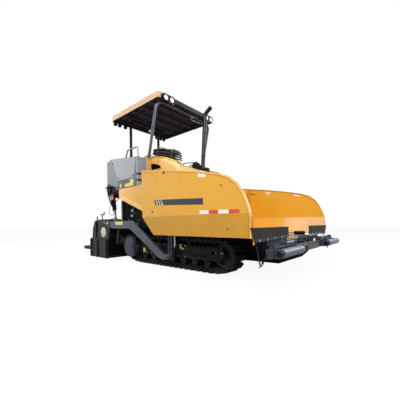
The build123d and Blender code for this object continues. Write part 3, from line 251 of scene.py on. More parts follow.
@lru_cache(maxsize=None)
def edge_wear_group() -> bpy.types.NodeTree:
    """Mask of rubbed edges: where the rounded normal leaves the face's own, broken up by noise."""
    tree, graph, given, result = new_group("edge_wear", "ShaderNodeTree", [
        ("Vector", "NodeSocketVector", None), ("Radius", "NodeSocketFloat", 0.005),
        ("Amount", "NodeSocketFloat", 0.5)], [("Mask", "NodeSocketFloat")])
    bevel = graph.add("ShaderNodeBevel", {"Radius": given.outputs["Radius"]}, samples=4)
    flat = graph.add("ShaderNodeNewGeometry")
    dot = graph.add("ShaderNodeVectorMath", {0: bevel.outputs[0], 1: flat.outputs["Normal"]},
                    operation="DOT_PRODUCT")
    edge = graph.span(graph.math("SUBTRACT", 1.0, dot.outputs["Value"]), 0.02, 0.16)
    broken = graph.span(graph.noise(given.outputs["Vector"], 22.0, 5.0), 0.48, 0.66)
    both = graph.math("MULTIPLY", edge, broken)
    graph.put(result.inputs[0], graph.math("MULTIPLY", both, given.outputs["Amount"], clamp=True))
    return tree


@lru_cache(maxsize=None)
def dust_group() -> bpy.types.NodeTree:
    """Mask of road dust that thins out with height, in soft patches."""
    tree, graph, given, result = new_group("road_dust", "ShaderNodeTree", [
        ("Vector", "NodeSocketVector", None), ("Amount", "NodeSocketFloat", 0.4),
        ("Reach", "NodeSocketFloat", 1.2)], [("Mask", "NodeSocketFloat")])
    split = graph.add("ShaderNodeSeparateXYZ", {0: given.outputs["Vector"]})
    low = graph.span(split.outputs["Z"], 0.0, given.outputs["Reach"], 1.0, 0.12)
    patch = graph.span(graph.noise(given.outputs["Vector"], 3.1, 6.0), 0.36, 0.72)
    fine = graph.span(graph.noise(given.outputs["Vector"], 46.0, 3.0), 0.25, 0.75, 0.6, 1.0)
    mask = graph.math("MULTIPLY", graph.math("MULTIPLY", low, patch), fine)
    graph.put(result.inputs[0], graph.math("MULTIPLY", mask, given.outputs["Amount"], clamp=True))
    return tree


@lru_cache(maxsize=None)
def mottle_group() -> bpy.types.NodeTree:
    """Slow change of tone over a surface, and the fine height of its grain."""
    tree, graph, given, result = new_group("mottle", "ShaderNodeTree", [
        ("Vector", "NodeSocketVector", None), ("Grain Scale", "NodeSocketFloat", 200.0)],
        [("Tone", "NodeSocketFloat"), ("Height", "NodeSocketFloat")])
    graph.fill(result, {0: graph.span(graph.noise(given.outputs["Vector"], 1.7, 4.0), 0.3, 0.7),
                        1: graph.noise(given.outputs["Vector"], given.outputs["Grain Scale"], 2.0)})
    return tree


@dataclass(frozen=True)
class Finish:
    """A solid finish: paint, bare steel, rubber or moulding, with its grain, wear and dust."""

    name: str
    slot: Slot
    colour: str
    roughness: float = 0.38
    metallic: float = 0.0
    coat: float = 0.0
    grain: float = 0.05
    grain_scale: float = 220.0
    wear: float = 0.3
    wear_colour: str = "#4A4845"
    dust: float = 0.25
    dust_reach: float = 1.1
    tone: float = 0.06
    specular: float = 0.5

    def material(self) -> bpy.types.Material:
        """Material of this finish, built once."""
        return built_material(self)

    def build(self) -> bpy.types.Material:
        """Build the material's nodes."""
        material = bpy.data.materials.new(self.name)
        material.use_nodes = True
        graph = Graph(material.node_tree)
        where = graph.spot()
        mottle = self.shared(graph, mottle_group(), where, {"Grain Scale": self.grain_scale})
        base = linear(self.colour)
        dark = tuple(c * (1 - self.tone * 2) for c in base[:3]) + (1.0,)
        light = tuple(min(1.0, c * (1 + self.tone)) for c in base[:3]) + (1.0,)
        colour = graph.mix(mottle.outputs["Tone"], dark, light)
        rough = graph.span(mottle.outputs["Tone"], 0.0, 1.0, self.roughness * 0.88,
                           min(1.0, self.roughness * 1.12))
        if self.wear:
            worn = self.shared(graph, edge_wear_group(), where, {"Amount": self.wear}).outputs["Mask"]
            colour = graph.mix(worn, colour, linear(self.wear_colour))
        if self.dust:
            dusty = self.shared(graph, dust_group(), where,
                                {"Amount": self.dust, "Reach": self.dust_reach}).outputs["Mask"]
            colour = graph.mix(dusty, colour, linear(DUST_COLOUR))
            rough = graph.math("ADD", rough, graph.math("MULTIPLY", dusty, DUST_ROUGHNESS), clamp=True)
        graph.fill(graph.shader, {
            "Base Color": colour, "Roughness": rough, "Metallic": self.metallic,
            "Specular IOR Level": self.specular, "Coat Weight": self.coat, "Coat Roughness": COAT_ROUGHNESS,
            "Normal": graph.bump(mottle.outputs["Height"], self.grain, 0.002)})
        return material

    @staticmethod
    def shared(graph: Graph, tree: bpy.types.NodeTree, where: bpy.types.NodeSocket,
               values: dict[str, float]) -> bpy.types.Node:
        """Place a shared group that reads coordinates, with its own values."""
        return graph.add("ShaderNodeGroup", {"Vector": where, **values}, node_tree=tree)


@dataclass(frozen=True)
class Weave(Finish):
    """Coated cloth: a fine plain weave over the finish's own tone."""

    threads: float = 420.0

    def build(self) -> bpy.types.Material:
        """Build the material and lay the weave over its grain."""
        material = super().build()
        graph = Graph(material.node_tree)
        where = graph.spot()
        waves = [graph.add("ShaderNodeTexWave", {"Scale": self.threads / 6, "Distortion": 0.4, "Vector": where},
                           bands_direction=axis).outputs["Fac"] for axis in ("X", "Y")]
        graph.fill(graph.shader, {"Normal": graph.bump(graph.math("MAXIMUM", *waves), 0.3, 0.001),
                                  "Sheen Weight": 0.15})
        return material


@dataclass(frozen=True)
class Leather(Finish):
    """Grained vinyl: small pebbles between fine creases."""

    pebble: float = 340.0

    def build(self) -> bpy.types.Material:
        """Build the material and press the pebbles into it."""
        material = super().build()
        graph = Graph(material.node_tree)
        cells = graph.add("ShaderNodeTexVoronoi", {"Scale": self.pebble, "Vector": graph.spot()},
                          feature="DISTANCE_TO_EDGE")
        pebbles = graph.bump(graph.span(cells.outputs["Distance"], 0.0, 0.25), 0.35, 0.001)
        graph.put(graph.shader.inputs["Normal"], pebbles)
        return material


@dataclass(frozen=True)
class Lens(Finish):
    """Lamp glass: a pressed lens with a little light of its own."""

    glow: float = 0.0

    def build(self) -> bpy.types.Material:
        """Build the material, with a ribbed lens pattern."""
        material = super().build()
        graph = Graph(material.node_tree)
        wave = graph.add("ShaderNodeTexWave", {"Scale": 24.0, "Vector": graph.spot()}, bands_direction="Y")
        graph.fill(graph.shader, {"Normal": graph.bump(wave.outputs["Fac"], 0.4, 0.002),
                                  "Emission Color": linear(self.colour), "Emission Strength": self.glow})
        return material


@lru_cache(maxsize=None)
def built_material(finish: Finish) -> bpy.types.Material:
    """Material of a finish, built the first time it is asked for."""
    return finish.build()


def clean(name: str, slot: Slot, colour: str, dust: float = 0.0, **values: float) -> Finish:
    """Finish with no worn edges and, as a rule, no dust."""
    return Finish(name, slot, colour, wear=0.0, dust=dust, **values)


YELLOW = Finish("machine_yellow", Slot.YELLOW, "#E5A72D", roughness=0.3, coat=0.4, wear=0.05,
                wear_colour="#B98A3C", dust=0.0, tone=0.02)
PALE_YELLOW = clean("label_yellow", Slot.YELLOW, "#E6D373", roughness=0.45, tone=0.03)
ROOF_PAINT = clean("roof_band", Slot.ROOF, "#DEB48B", specular=0.35, roughness=0.55, coat=0.05,
                   grain=0.0, tone=0.015)
SLATE = Finish("slate_enamel", Slot.SLATE, "#343844", specular=0.4, roughness=0.42, coat=0.1, wear=0.12,
               wear_colour="#7B7F86", dust=0.06)
ROLLER = Finish("roller_slate", Slot.SLATE, "#596277", roughness=0.3, metallic=0.35, wear=0.15,
                wear_colour="#9AA0AA", dust=0.05)
STRIPE = clean("stripe_slate", Slot.SLATE, "#303848", specular=0.4, roughness=0.4, tone=0.03)
BLACK = Finish("black_enamel", Slot.BLACK, "#0C0D0F", specular=0.2, roughness=0.45, wear=0.08,
               wear_colour="#4A4B4D", dust=0.04)
# Near-black for black hoses, seams and screens, and also painted shade: dark sheets and fills where there is
# only shade (tanks, side walls, belly, vent backs, wheel webs, screed front).
BLACK_AND_SHADE = clean("inner_black", Slot.BLACK, "#050506", specular=0.1, roughness=0.7)
SHELL = Finish("console_shell", Slot.SHELL, "#737984", roughness=0.42, coat=0.1, wear=0.06,
               wear_colour="#70747A", dust=0.03, tone=0.03)
SHELL_DARK = Finish("console_band", Slot.SHELL, "#50535B", roughness=0.45, wear=0.05, dust=0.03, tone=0.03)
PANEL = clean("console_panel", Slot.SHELL, "#979AA1", roughness=0.38, coat=0.15, dust=0.02, tone=0.03)
POST_GREY = Finish("post_grey", Slot.SLATE, "#50535B", roughness=0.28, metallic=0.2, coat=0.3,
                   wear=0.05, dust=0.0)
LINER = clean("roof_lining", Slot.BLACK, "#463F4B", specular=0.12, roughness=0.6, tone=0.12)
# Paler yellow on rolled edges and bevels: a painted highlight where the machine yellow catches the light.
RIM_HIGHLIGHT = clean("rim_yellow", Slot.YELLOW, "#F0BC5E", roughness=0.3, coat=0.4, tone=0.02)
RIM_SHADE = clean("rim_shade", Slot.YELLOW, "#A9701D", roughness=0.5, tone=0.05)
# Pale cream over the machine yellow: a painted reflection of the bright surroundings on the wings' sloped feet
# and floors.
SLOPE_REFLECTION = clean("scuffed_yellow", Slot.YELLOW, "#E6BA7E", roughness=0.28, coat=0.3, tone=0.05)
SLASH_CREAM = clean("slash_cream", Slot.YELLOW, "#E9E0B8", roughness=0.4, tone=0.02)
ARM_SLATE = Finish("arm_slate", Slot.SLATE, "#4F535F", roughness=0.42, coat=0.1, wear=0.1,
                   wear_colour="#7B7F86", dust=0.04)
SCREED_SLATE = Finish("screed_slate", Slot.SLATE, "#13161D", specular=0.35, roughness=0.45, wear=0.15,
                      wear_colour="#63666D", dust=0.08)
# The machine yellow made paler and creamier for the hood: a painted reflection of the bright sky on its top and
# bevels.
HOOD_SHEEN = clean("hood_yellow", Slot.YELLOW, "#E9B25E", roughness=0.28, coat=0.5, tone=0.02)
ROD_STEEL = clean("rod_steel", Slot.BRIGHT, "#74787F", roughness=0.25, metallic=0.9, tone=0.03)
STACK_BLACK = Finish("stack_black", Slot.BLACK, "#17181B", roughness=0.4, wear=0.1,
                     wear_colour="#4A4B4D", dust=0.05)
ORANGE_MARK = clean("orange_marker", Slot.SLATE, "#D2622E", roughness=0.4)
CABINET = Finish("cabinet_grey", Slot.CABINET, "#979DAB", roughness=0.45, wear=0.06, dust=0.03, tone=0.03)
TRACK_IRON = Finish("track_iron", Slot.TRACK, "#17171A", specular=0.3, roughness=0.5, metallic=0.3, grain=0.25,
                    grain_scale=120.0, wear=0.3, wear_colour="#56565A", dust=0.1, dust_reach=0.5, tone=0.15)
PAD_RUBBER = Finish("pad_rubber", Slot.TRACK, "#121213", specular=0.2, roughness=0.75, grain=0.3,
                    grain_scale=160.0, wear=0.08, wear_colour="#3C3B3A", dust=0.1, dust_reach=0.4, tone=0.1)
SLAT_IRON = Finish("conveyor_iron", Slot.CONVEYOR, "#36373A", roughness=0.5, metallic=0.5, grain=0.25,
                   grain_scale=110.0, wear=0.4, wear_colour="#7F7F7D", dust=0.12, tone=0.12)
FLAP_RUBBER = clean("flap_rubber", Slot.FLAP, "#262725", specular=0.25, roughness=0.7, grain=0.25,
                    grain_scale=140.0, dust=0.04, tone=0.07)
CHROME = clean("bright_chrome", Slot.BRIGHT, "#D5D7DA", roughness=0.12, metallic=1.0, dust=0.05,
               grain=0.0, tone=0.02)
ZINC = Finish("zinc_plate", Slot.ZINC, "#8D9198", roughness=0.36, metallic=0.85, wear=0.1, dust=0.15, tone=0.06)
BRIGHT_BOLT = clean("bright_bolt", Slot.ZINC, "#C9CBCE", roughness=0.28, metallic=0.9, dust=0.05)
VINYL = Leather("seat_vinyl", Slot.VINYL, "#1A1B1E", roughness=0.5, wear=0.0, dust=0.12)
TARP_CLOTH = Weave("tarp_cloth", Slot.TARP, "#1A2422", specular=0.3, roughness=0.55, coat=0.0, wear=0.0,
                   dust=0.1, tone=0.15)
STRAP_WEB = Weave("strap_web", Slot.TARP, "#4A5056", roughness=0.7, wear=0.0, dust=0.0, threads=700.0)
IRON = Finish("engine_iron", Slot.ENGINE, "#3A3B3D", roughness=0.6, metallic=0.3, grain=0.35,
              grain_scale=90.0, dust=0.3)
LAMP_BODY = Finish("lamp_body", Slot.LAMP, "#0D0E10", specular=0.2, roughness=0.4, wear=0.1, dust=0.1)
LAMP_GLASS = Lens("lamp_glass", Slot.LAMP, "#EDF1F5", roughness=0.1, wear=0.0, dust=0.0, glow=0.55, tone=0.01)
ORANGE_GLASS = Lens("beacon_glass", Slot.LAMP, "#C9794A", roughness=0.25, wear=0.0, dust=0.0, tone=0.02)
PIPING = Leather("seat_piping", Slot.VINYL, "#2E3034", roughness=0.5, wear=0.0, dust=0.1)
RED = Finish("red_enamel", Slot.LAMP, "#B72A22", roughness=0.32, coat=0.3, wear=0.1, dust=0.08)
TAPE_RED = clean("tape_red", Slot.YELLOW, "#DC4A2C", roughness=0.35, coat=0.2, grain=0.2, grain_scale=500.0)
WHITE = clean("blank_white", Slot.YELLOW, "#F5F1EA", roughness=0.4, coat=0.1, grain=0.1,
              grain_scale=500.0, tone=0.02)
CREAM = Finish("cream_plate", Slot.SLATE, "#CFD2B2", roughness=0.45, wear=0.1, dust=0.12)
TAN = Finish("tan_plate", Slot.CONVEYOR, "#B7A184", roughness=0.6, metallic=0.1, wear=0.3, dust=0.3)

CAD_FINISH: dict[str, Finish] = {
    "main_frame": BLACK, "hopper_back": YELLOW, "conveyor": SLAT_IRON, "wing_hinge_pins": BLACK,
    # The tanks are black, and they take the darkest near-black as painted shade under the deck.
    "engine_block": IRON, "track_wheels": TRACK_IRON, "drive_guards": SLATE, "tanks": BLACK_AND_SHADE,
    "flanks": YELLOW, "hood": HOOD_SHEEN, "platform": BLACK, "dash": CABINET, "seat_bases": BLACK,
    "seat_cushions": VINYL, "front_hoop": POST_GREY, "rear_hoop": BLACK, "canopy_roof": ROOF_PAINT,
    "roof_lamps": LAMP_BODY, "exhaust": STACK_BLACK, "deck_rails": ZINC, "tarp_roll": TARP_CLOTH,
    "tow_guides": SLATE, "level_rods": CHROME, "push_beam": SLATE, "auger_support": BLACK,
    "screed_main": SCREED_SLATE,
}
PAIR_FINISH: dict[str, Finish] = {
    "track": TRACK_IRON, "track_frame": BLACK, "console": SHELL, "wing": YELLOW,
    "wing_flap": FLAP_RUBBER, "flap_bar": SLATE, "push_roller": ROLLER, "auger": SLAT_IRON,
    "extension": SCREED_SLATE, "walkway": BLACK, "tow_arm": ARM_SLATE, "lift_barrel": BLACK,
    "lift_rod": ROD_STEEL,
}


# ---------------------------------------------------------------------------- mesh helpers
def rounded(outline: Outline, radius: float, steps: int = 5) -> list[tuple[float, float]]:
    """Outline with every corner rounded.

    Args:
        outline: Corners in order.
        radius: Radius of each corner, cut down where a side is short.
        steps: Points on each corner less one.

    Returns:
        Points of the rounded outline.
    """
    points = [Vector(p).to_2d() for p in outline]
    made = []
    for index, corner in enumerate(points):
        before, after = points[index - 1] - corner, points[(index + 1) % len(points)] - corner
        reach = min(radius, before.length * 0.45, after.length * 0.45)
        start, end = corner + before.normalized() * reach, corner + after.normalized() * reach
        for step in range(steps + 1):
            t = step / steps
            spot = start * (1 - t) ** 2 + corner * (2 * t * (1 - t)) + end * t ** 2
            made.append((spot.x, spot.y))
    return made


def rect(left: float, right: float, low: float, high: float) -> list[tuple[float, float]]:
    """Corners of a rectangle."""
    return [(left, low), (right, low), (right, high), (left, high)]


def sided(sign: float, near: float, far: float) -> list[float]:
    """Two distances from the machine's middle as Y values on one side, the lower first."""
    return sorted((sign * near, sign * far))


def circle(x: float, y: float, radius: float, sides: int = 24) -> list[tuple[float, float]]:
    """Points of a circle."""
    return [(x + radius * math.cos(2 * math.pi * i / sides), y + radius * math.sin(2 * math.pi * i / sides))
            for i in range(sides)]


class Shape:
    """Closed solids drawn in machine millimetres and finished as one piece."""

    def __init__(self) -> None:
        """Start with an empty mesh."""
        self.mesh = bmesh.new()

    def traced(self, outline: Outline, axis: Axis, at: float) -> list[bmesh.types.BMVert]:
        """Vertices of an outline that stands at one value along an axis."""
        spots = {Axis.X: lambda a, b: (at, a, b), Axis.Y: lambda a, b: (a, at, b),
                 Axis.Z: lambda a, b: (a, b, at)}
        return [self.mesh.verts.new(spots[axis](a, b)) for a, b in outline]

    def joined(self, rings: Sequence[Sequence[bmesh.types.BMVert]]) -> "Shape":
        """Join rings of as many vertices, each to the next."""
        for lower, upper in zip(rings, rings[1:]):
            for i in range(len(lower)):
                j = (i + 1) % len(lower)
                self.mesh.faces.new((lower[i], lower[j], upper[j], upper[i]))
        return self

    def skinned(self, rings: Sequence[Sequence[bmesh.types.BMVert]]) -> "Shape":
        """Join rings and close the first and the last one."""
        self.joined(rings)
        self.mesh.faces.new(rings[0][::-1])
        self.mesh.faces.new(rings[-1])
        return self

    def band(self, outer: Outline, inner: Outline, axis: Axis, low: float, high: float) -> "Shape":
        """Draw what lies between two outlines of as many points out along an axis."""
        corners = ((outer, low), (outer, high), (inner, high), (inner, low))
        rings = [self.traced(line, axis, at) for line, at in corners]
        return self.joined(rings + rings[:1])

    def prism(self, outline: Outline, axis: Axis, low: float, high: float) -> "Shape":
        """Draw an outline out along an axis.

        Args:
            outline: Corners in the two other axes, in the order X, Y, Z.
            axis: Axis to draw along.
            low: Start along the axis.
            high: End along the axis.

        Returns:
            This shape.
        """
        first, last = self.traced(outline, axis, low), self.traced(outline, axis, high)
        self.mesh.faces.new(first[::-1])
        self.mesh.faces.new(last)
        for i in range(len(first)):
            j = (i + 1) % len(first)
            self.mesh.faces.new((first[i], first[j], last[j], last[i]))
        return self

    def box(self, x: Point, y: Point, z: Point) -> "Shape":
        """Block between two values on each axis."""
        return self.prism(rect(*x, *y), Axis.Z, *z)

    def lathe(self, start: Point, way: Point, profile: Outline, sides: int = 24) -> "Shape":
        """Turn a profile about a line.

        Args:
            start: Where the line starts.
            way: Direction of the line.
            profile: Pairs of distance along the line and radius.
            sides: Faces round the line.

        Returns:
            This shape.
        """
        turn = Vector(way).to_track_quat("Z", "Y").to_matrix().to_4x4()
        frame = Matrix.Translation(Vector(start)) @ turn
        rings = []
        for along, radius in profile:
            rings.append([self.mesh.verts.new(frame @ Vector((px, py, along)))
                          for px, py in circle(0, 0, radius, sides)])
        return self.skinned(rings)

    def rod(self, start: Point, end: Point, radius: float, sides: int = 20) -> "Shape":
        """Round bar between two points."""
        way = Vector(end) - Vector(start)
        return self.lathe(start, way, [(0, radius), (way.length, radius)], sides)

    def pipe(self, points: Sequence[Point], radius: float, bend: float, sides: int = 14) -> "Shape":
        """Bent tube through points.

        Args:
            points: Ends and corners of the tube's line.
            radius: Radius of the tube.
            bend: Radius of its bends.
            sides: Faces round it.

        Returns:
            This shape.
        """
        line = smooth_line([Vector(p) for p in points], bend)
        normal = (line[1] - line[0]).orthogonal().normalized()
        rings = []
        for index, spot in enumerate(line):
            way = (line[min(index + 1, len(line) - 1)] - line[max(index - 1, 0)]).normalized()
            normal = (normal - way * normal.dot(way)).normalized()
            across = way.cross(normal)
            rings.append([self.mesh.verts.new(spot + normal * px + across * py)
                          for px, py in circle(0, 0, radius, sides)])
        return self.skinned(rings)

    def both(self) -> "Shape":
        """Add the mirror image on the machine's other side."""
        made = bmesh.ops.duplicate(self.mesh,
                                   geom=list(self.mesh.verts) + list(self.mesh.edges) + list(self.mesh.faces))
        for part in made["geom"]:
            if isinstance(part, bmesh.types.BMVert):
                part.co.y = -part.co.y
        return self

    def plain_mesh(self, name: str) -> bpy.types.Mesh:
        """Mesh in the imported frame, with faces that point outwards."""
        bmesh.ops.recalc_face_normals(self.mesh, faces=list(self.mesh.faces))
        for vertex in self.mesh.verts:
            vertex.co = placed(vertex.co)
        mesh = bpy.data.meshes.new(name)
        self.mesh.to_mesh(mesh)
        self.mesh.free()
        return mesh

    def piece(self, name: str, finish: Finish, body: str = "chassis", bevel: float = 0.0) -> bpy.types.Object:
        """Finish the shape as a piece that rides on a body.

        Args:
            name: Piece's name.
            finish: What it is finished with.
            body: Body of the frame it moves with.
            bevel: Width of its softened edges, in millimetres.

        Returns:
            The piece.
        """
        item = dressed(name, self.plain_mesh(name), finish)
        if bevel:
            modifier = item.modifiers.new("soft_edges", "BEVEL")
            modifier.width = bevel * MM
            modifier.segments = 2
            modifier.limit_method = "ANGLE"
            modifier.angle_limit = math.radians(40)
            modifier.harden_normals = True
        return riding(item, body)


def smooth_line(points: Sequence[Vector], bend: float) -> list[Vector]:
    """Line through points with its corners rounded to a bend."""
    line = [points[0]]
    for before, corner, after in zip(points, points[1:], points[2:]):
        back, ahead = before - corner, after - corner
        reach = min(bend, back.length * 0.45, ahead.length * 0.45)
        start, end = corner + back.normalized() * reach, corner + ahead.normalized() * reach
        for step in range(7):
            t = step / 6
            line.append(start * (1 - t) ** 2 + corner * (2 * t * (1 - t)) + end * t ** 2)
    return line + [points[-1]]


def dressed(name: str, mesh: bpy.types.Mesh, finish: Finish, sharp: float = 35.0) -> bpy.types.Object:
    """Object of a mesh with its finish, smooth but for its sharp edges.

    Args:
        name: Object's name.
        mesh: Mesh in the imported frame.
        finish: Finish of the whole mesh.
        sharp: Angle in degrees above which an edge stays sharp.

    Returns:
        The object, linked to the scene.
    """
    mesh.materials.clear()
    mesh.materials.append(finish.material())
    mesh.polygons.foreach_set("use_smooth", [True] * len(mesh.polygons))
    mesh.set_sharp_from_angle(angle=math.radians(sharp))
    item = bpy.data.objects.new(name, mesh)
    bpy.context.scene.collection.objects.link(item)
    return item


def riding(item: bpy.types.Object, body: str) -> bpy.types.Object:
    """Let a piece ride on a body."""
    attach(item, body)
    LOG.info("%s rides on %s", item.name, body)
    return item


# ---------------------------------------------------------------------------- geometry nodes
def grown(name: str, mesh: bpy.types.Mesh, tree: bpy.types.NodeTree,
          values: dict[str, object]) -> bpy.types.Mesh:
    """Plain mesh that a Geometry Nodes tree makes from a mesh.

    Args:
        name: Name of the new mesh.
        mesh: Mesh that the tree starts from.
        tree: Geometry Nodes tree.
        values: Values by input name.

    Returns:
        The realized mesh.
    """
    base = bpy.data.objects.new(name + "_base", mesh)
    bpy.context.scene.collection.objects.link(base)
    modifier = base.modifiers.new("grow", "NODES")
    modifier.node_group = tree
    for item in tree.interface.items_tree:
        if item.item_type == "SOCKET" and item.in_out == "INPUT" and item.name in values:
            modifier[item.identifier] = values[item.name]
    graph = bpy.context.evaluated_depsgraph_get()
    made = bpy.data.meshes.new_from_object(base.evaluated_get(graph))
    made.name = name
    base.modifiers.remove(modifier)
    bpy.data.objects.remove(base)
    return made


def new_tree(name: str, inputs: Sockets) -> Opened:
    """Geometry Nodes tree with a geometry, further inputs and a material."""
    return new_group(name, "GeometryNodeTree", [
        ("Geometry", "NodeSocketGeometry", None), *inputs, ("Material", "NodeSocketMaterial", None)],
        [("Geometry", "NodeSocketGeometry")])


def close_tree(graph: Graph, given: bpy.types.Node, result: bpy.types.Node,
               instances: bpy.types.NodeSocket) -> None:
    """End a tree in Realize Instances and Set Material."""
    real = graph.add("GeometryNodeRealizeInstances", {0: instances})
    paint = graph.add("GeometryNodeSetMaterial",
                      {"Geometry": real.outputs[0], "Material": given.outputs["Material"]})
    graph.put(result.inputs[0], paint.outputs[0])


def attribute(graph: Graph, name: str) -> bpy.types.NodeSocket:
    """Vector stored on the points under a name."""
    return graph.add("GeometryNodeInputNamedAttribute", {"Name": name}, data_type="FLOAT_VECTOR").outputs[0]


@lru_cache(maxsize=None)
def stud_tree() -> bpy.types.NodeTree:
    """Bolt heads on washers, one on each point, turned at random about their axes."""
    tree, graph, given, result = new_tree("stud_heads", [
        ("Radius", "NodeSocketFloat", 0.012), ("Height", "NodeSocketFloat", 0.008),
        ("Sides", "NodeSocketInt", 6), ("Seed", "NodeSocketInt", 7)])
    parts = graph.add("GeometryNodeJoinGeometry")
    for sides, widen, tall in ((given.outputs["Sides"], 1.0, 1.0), (16, 1.35, 0.3)):
        depth = graph.math("MULTIPLY", given.outputs["Height"], tall)
        wide = graph.math("MULTIPLY", given.outputs["Radius"], widen)
        head = graph.add("GeometryNodeMeshCylinder", {"Vertices": sides, "Radius": wide, "Depth": depth})
        raised = graph.add("ShaderNodeCombineXYZ", {2: graph.math("MULTIPLY", depth, 0.5)})
        lift = graph.add("GeometryNodeTransform",
                         {"Geometry": head.outputs["Mesh"], "Translation": raised.outputs[0]})
        graph.put(parts.inputs[0], lift.outputs[0])
    aim = graph.add("FunctionNodeAlignRotationToVector", {"Vector": attribute(graph, "facing")}, axis="Z")
    angle = graph.add("FunctionNodeRandomValue", {3: math.pi, "Seed": given.outputs["Seed"]}, data_type="FLOAT")
    spin = graph.add("FunctionNodeAxisAngleToRotation", {0: (0.0, 0.0, 1.0), 1: angle.outputs[1]})
    turned = graph.add("FunctionNodeRotateRotation", {0: aim.outputs[0], 1: spin.outputs[0]},
                       rotation_space="LOCAL")
    stand = graph.add("GeometryNodeInstanceOnPoints", {
        "Points": given.outputs["Geometry"], "Instance": parts.outputs[0], "Rotation": turned.outputs[0]})
    close_tree(graph, given, result, stand.outputs[0])
    return tree


@lru_cache(maxsize=None)
def set_tree() -> bpy.types.NodeTree:
    """One shape on each point, its Z along "facing" and its X along "ahead"."""
    tree, graph, given, result = new_tree("set_shapes", [
        ("Shape", "NodeSocketObject", None), ("Size", "NodeSocketFloat", 1.0)])
    source = graph.add("GeometryNodeObjectInfo", {"Object": given.outputs["Shape"]})
    aim = graph.add("FunctionNodeAxesToRotation", {0: attribute(graph, "facing"), 1: attribute(graph, "ahead")},
                    primary_axis="Z", secondary_axis="X")
    stand = graph.add("GeometryNodeInstanceOnPoints", {
        "Points": given.outputs["Geometry"], "Instance": source.outputs["Geometry"],
        "Rotation": aim.outputs[0], "Scale": given.outputs["Size"]})
    close_tree(graph, given, result, stand.outputs[0])
    return tree


@lru_cache(maxsize=None)
def bar_tree() -> bpy.types.NodeTree:
    """Row of equal bars: a block repeated at an even step from each point."""
    tree, graph, given, result = new_tree("bar_row", [
        ("Count", "NodeSocketInt", 5), ("Step", "NodeSocketVector", None), ("Size", "NodeSocketVector", None)])
    line = graph.add("GeometryNodeMeshLine", {"Count": given.outputs["Count"], "Offset": given.outputs["Step"]},
                     mode="OFFSET")
    bar = graph.add("GeometryNodeMeshCube", {"Size": given.outputs["Size"]})
    row = graph.add("GeometryNodeInstanceOnPoints", {"Points": line.outputs[0], "Instance": bar.outputs[0]})
    stand = graph.add("GeometryNodeInstanceOnPoints", {
        "Points": given.outputs["Geometry"], "Instance": row.outputs[0]})
    close_tree(graph, given, result, stand.outputs[0])
    return tree


def point_mesh(name: str, points: Sequence[Point], **vectors: Sequence[Point]) -> bpy.types.Mesh:
    """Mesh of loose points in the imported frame, each with its named directions."""
    mesh = bpy.data.meshes.new(name)
    mesh.from_pydata([placed(p) for p in points], [], [])
    for key, values in vectors.items():
        store = mesh.attributes.new(key, "FLOAT_VECTOR", "POINT")
        store.data.foreach_set("vector", [c for v in values for c in Vector(v).normalized()])
    return mesh


@dataclass
class Studs:
    """Bolt heads of one size that ride on one body."""

    radius: float = 12.0
    height: float = 9.0
    sides: int = 6

    def __post_init__(self) -> None:
        """Start with no bolts."""
        self.points: list[Point] = []
        self.ways: list[Point] = []

    def add(self, way: Point, *points: Point) -> "Studs":
        """Add bolts that face one way."""
        self.points += points
        self.ways += [way] * len(points)
        return self

    def both(self) -> "Studs":
        """Add the same bolts on the machine's other side."""
        self.points += [(x, -y, z) for x, y, z in self.points]
        self.ways += [(x, -y, z) for x, y, z in self.ways]
        return self

    def piece(self, name: str, finish: Finish, body: str = "chassis") -> bpy.types.Object:
        """Make the bolts as one piece."""
        mesh = grown(name, point_mesh(name + "_points", self.points, facing=self.ways), stud_tree(), {
            "Radius": self.radius * MM, "Height": self.height * MM, "Sides": self.sides,
            "Material": finish.material()})
        return riding(dressed(name, mesh, finish), body)


def bar_row(name: str, starts: Sequence[Point], count: int, step: Point, size: Point, finish: Finish,
            body: str) -> bpy.types.Object:
    """Rows of equal bars as one piece.

    Args:
        name: Piece's name.
        starts: Middle of the first bar of each row.
        count: Bars in a row.
        step: From one bar to the next, in millimetres.
        size: Size of a bar, in millimetres.
        finish: Finish of the bars.
        body: Body they ride on.

    Returns:
        The piece.
    """
    mesh = grown(name, point_mesh(name + "_starts", starts), bar_tree(), {
        "Count": count, "Step": [c * MM for c in step], "Size": [c * MM for c in size],
        "Material": finish.material()})
    return riding(dressed(name, mesh, finish), body)


def set_along(name: str, shape: Shape, points: Sequence[Point], facing: Sequence[Point], ahead: Sequence[Point],
              finish: Finish, body: str) -> bpy.types.Object:
    """A shape set on each of several points as one piece.

    Args:
        name: Piece's name.
        shape: Shape drawn about the machine's origin.
        points: Where it stands.
        facing: Direction of its Z at each point.
        ahead: Direction of its X at each point.
        finish: Finish of the whole piece.
        body: Body it rides on.

    Returns:
        The piece.
    """
    mesh = shape.plain_mesh(name + "_shape")
    mesh.transform(Matrix.Translation((-MIDDLE * MM, 0, 0)))
    source = bpy.data.objects.new(name + "_source", mesh)
    bpy.context.scene.collection.objects.link(source)
    made = grown(name, point_mesh(name + "_points", points, facing=facing, ahead=ahead), set_tree(), {
        "Shape": source, "Material": finish.material()})
    bpy.data.objects.remove(source)
    return riding(dressed(name, made, finish), body)


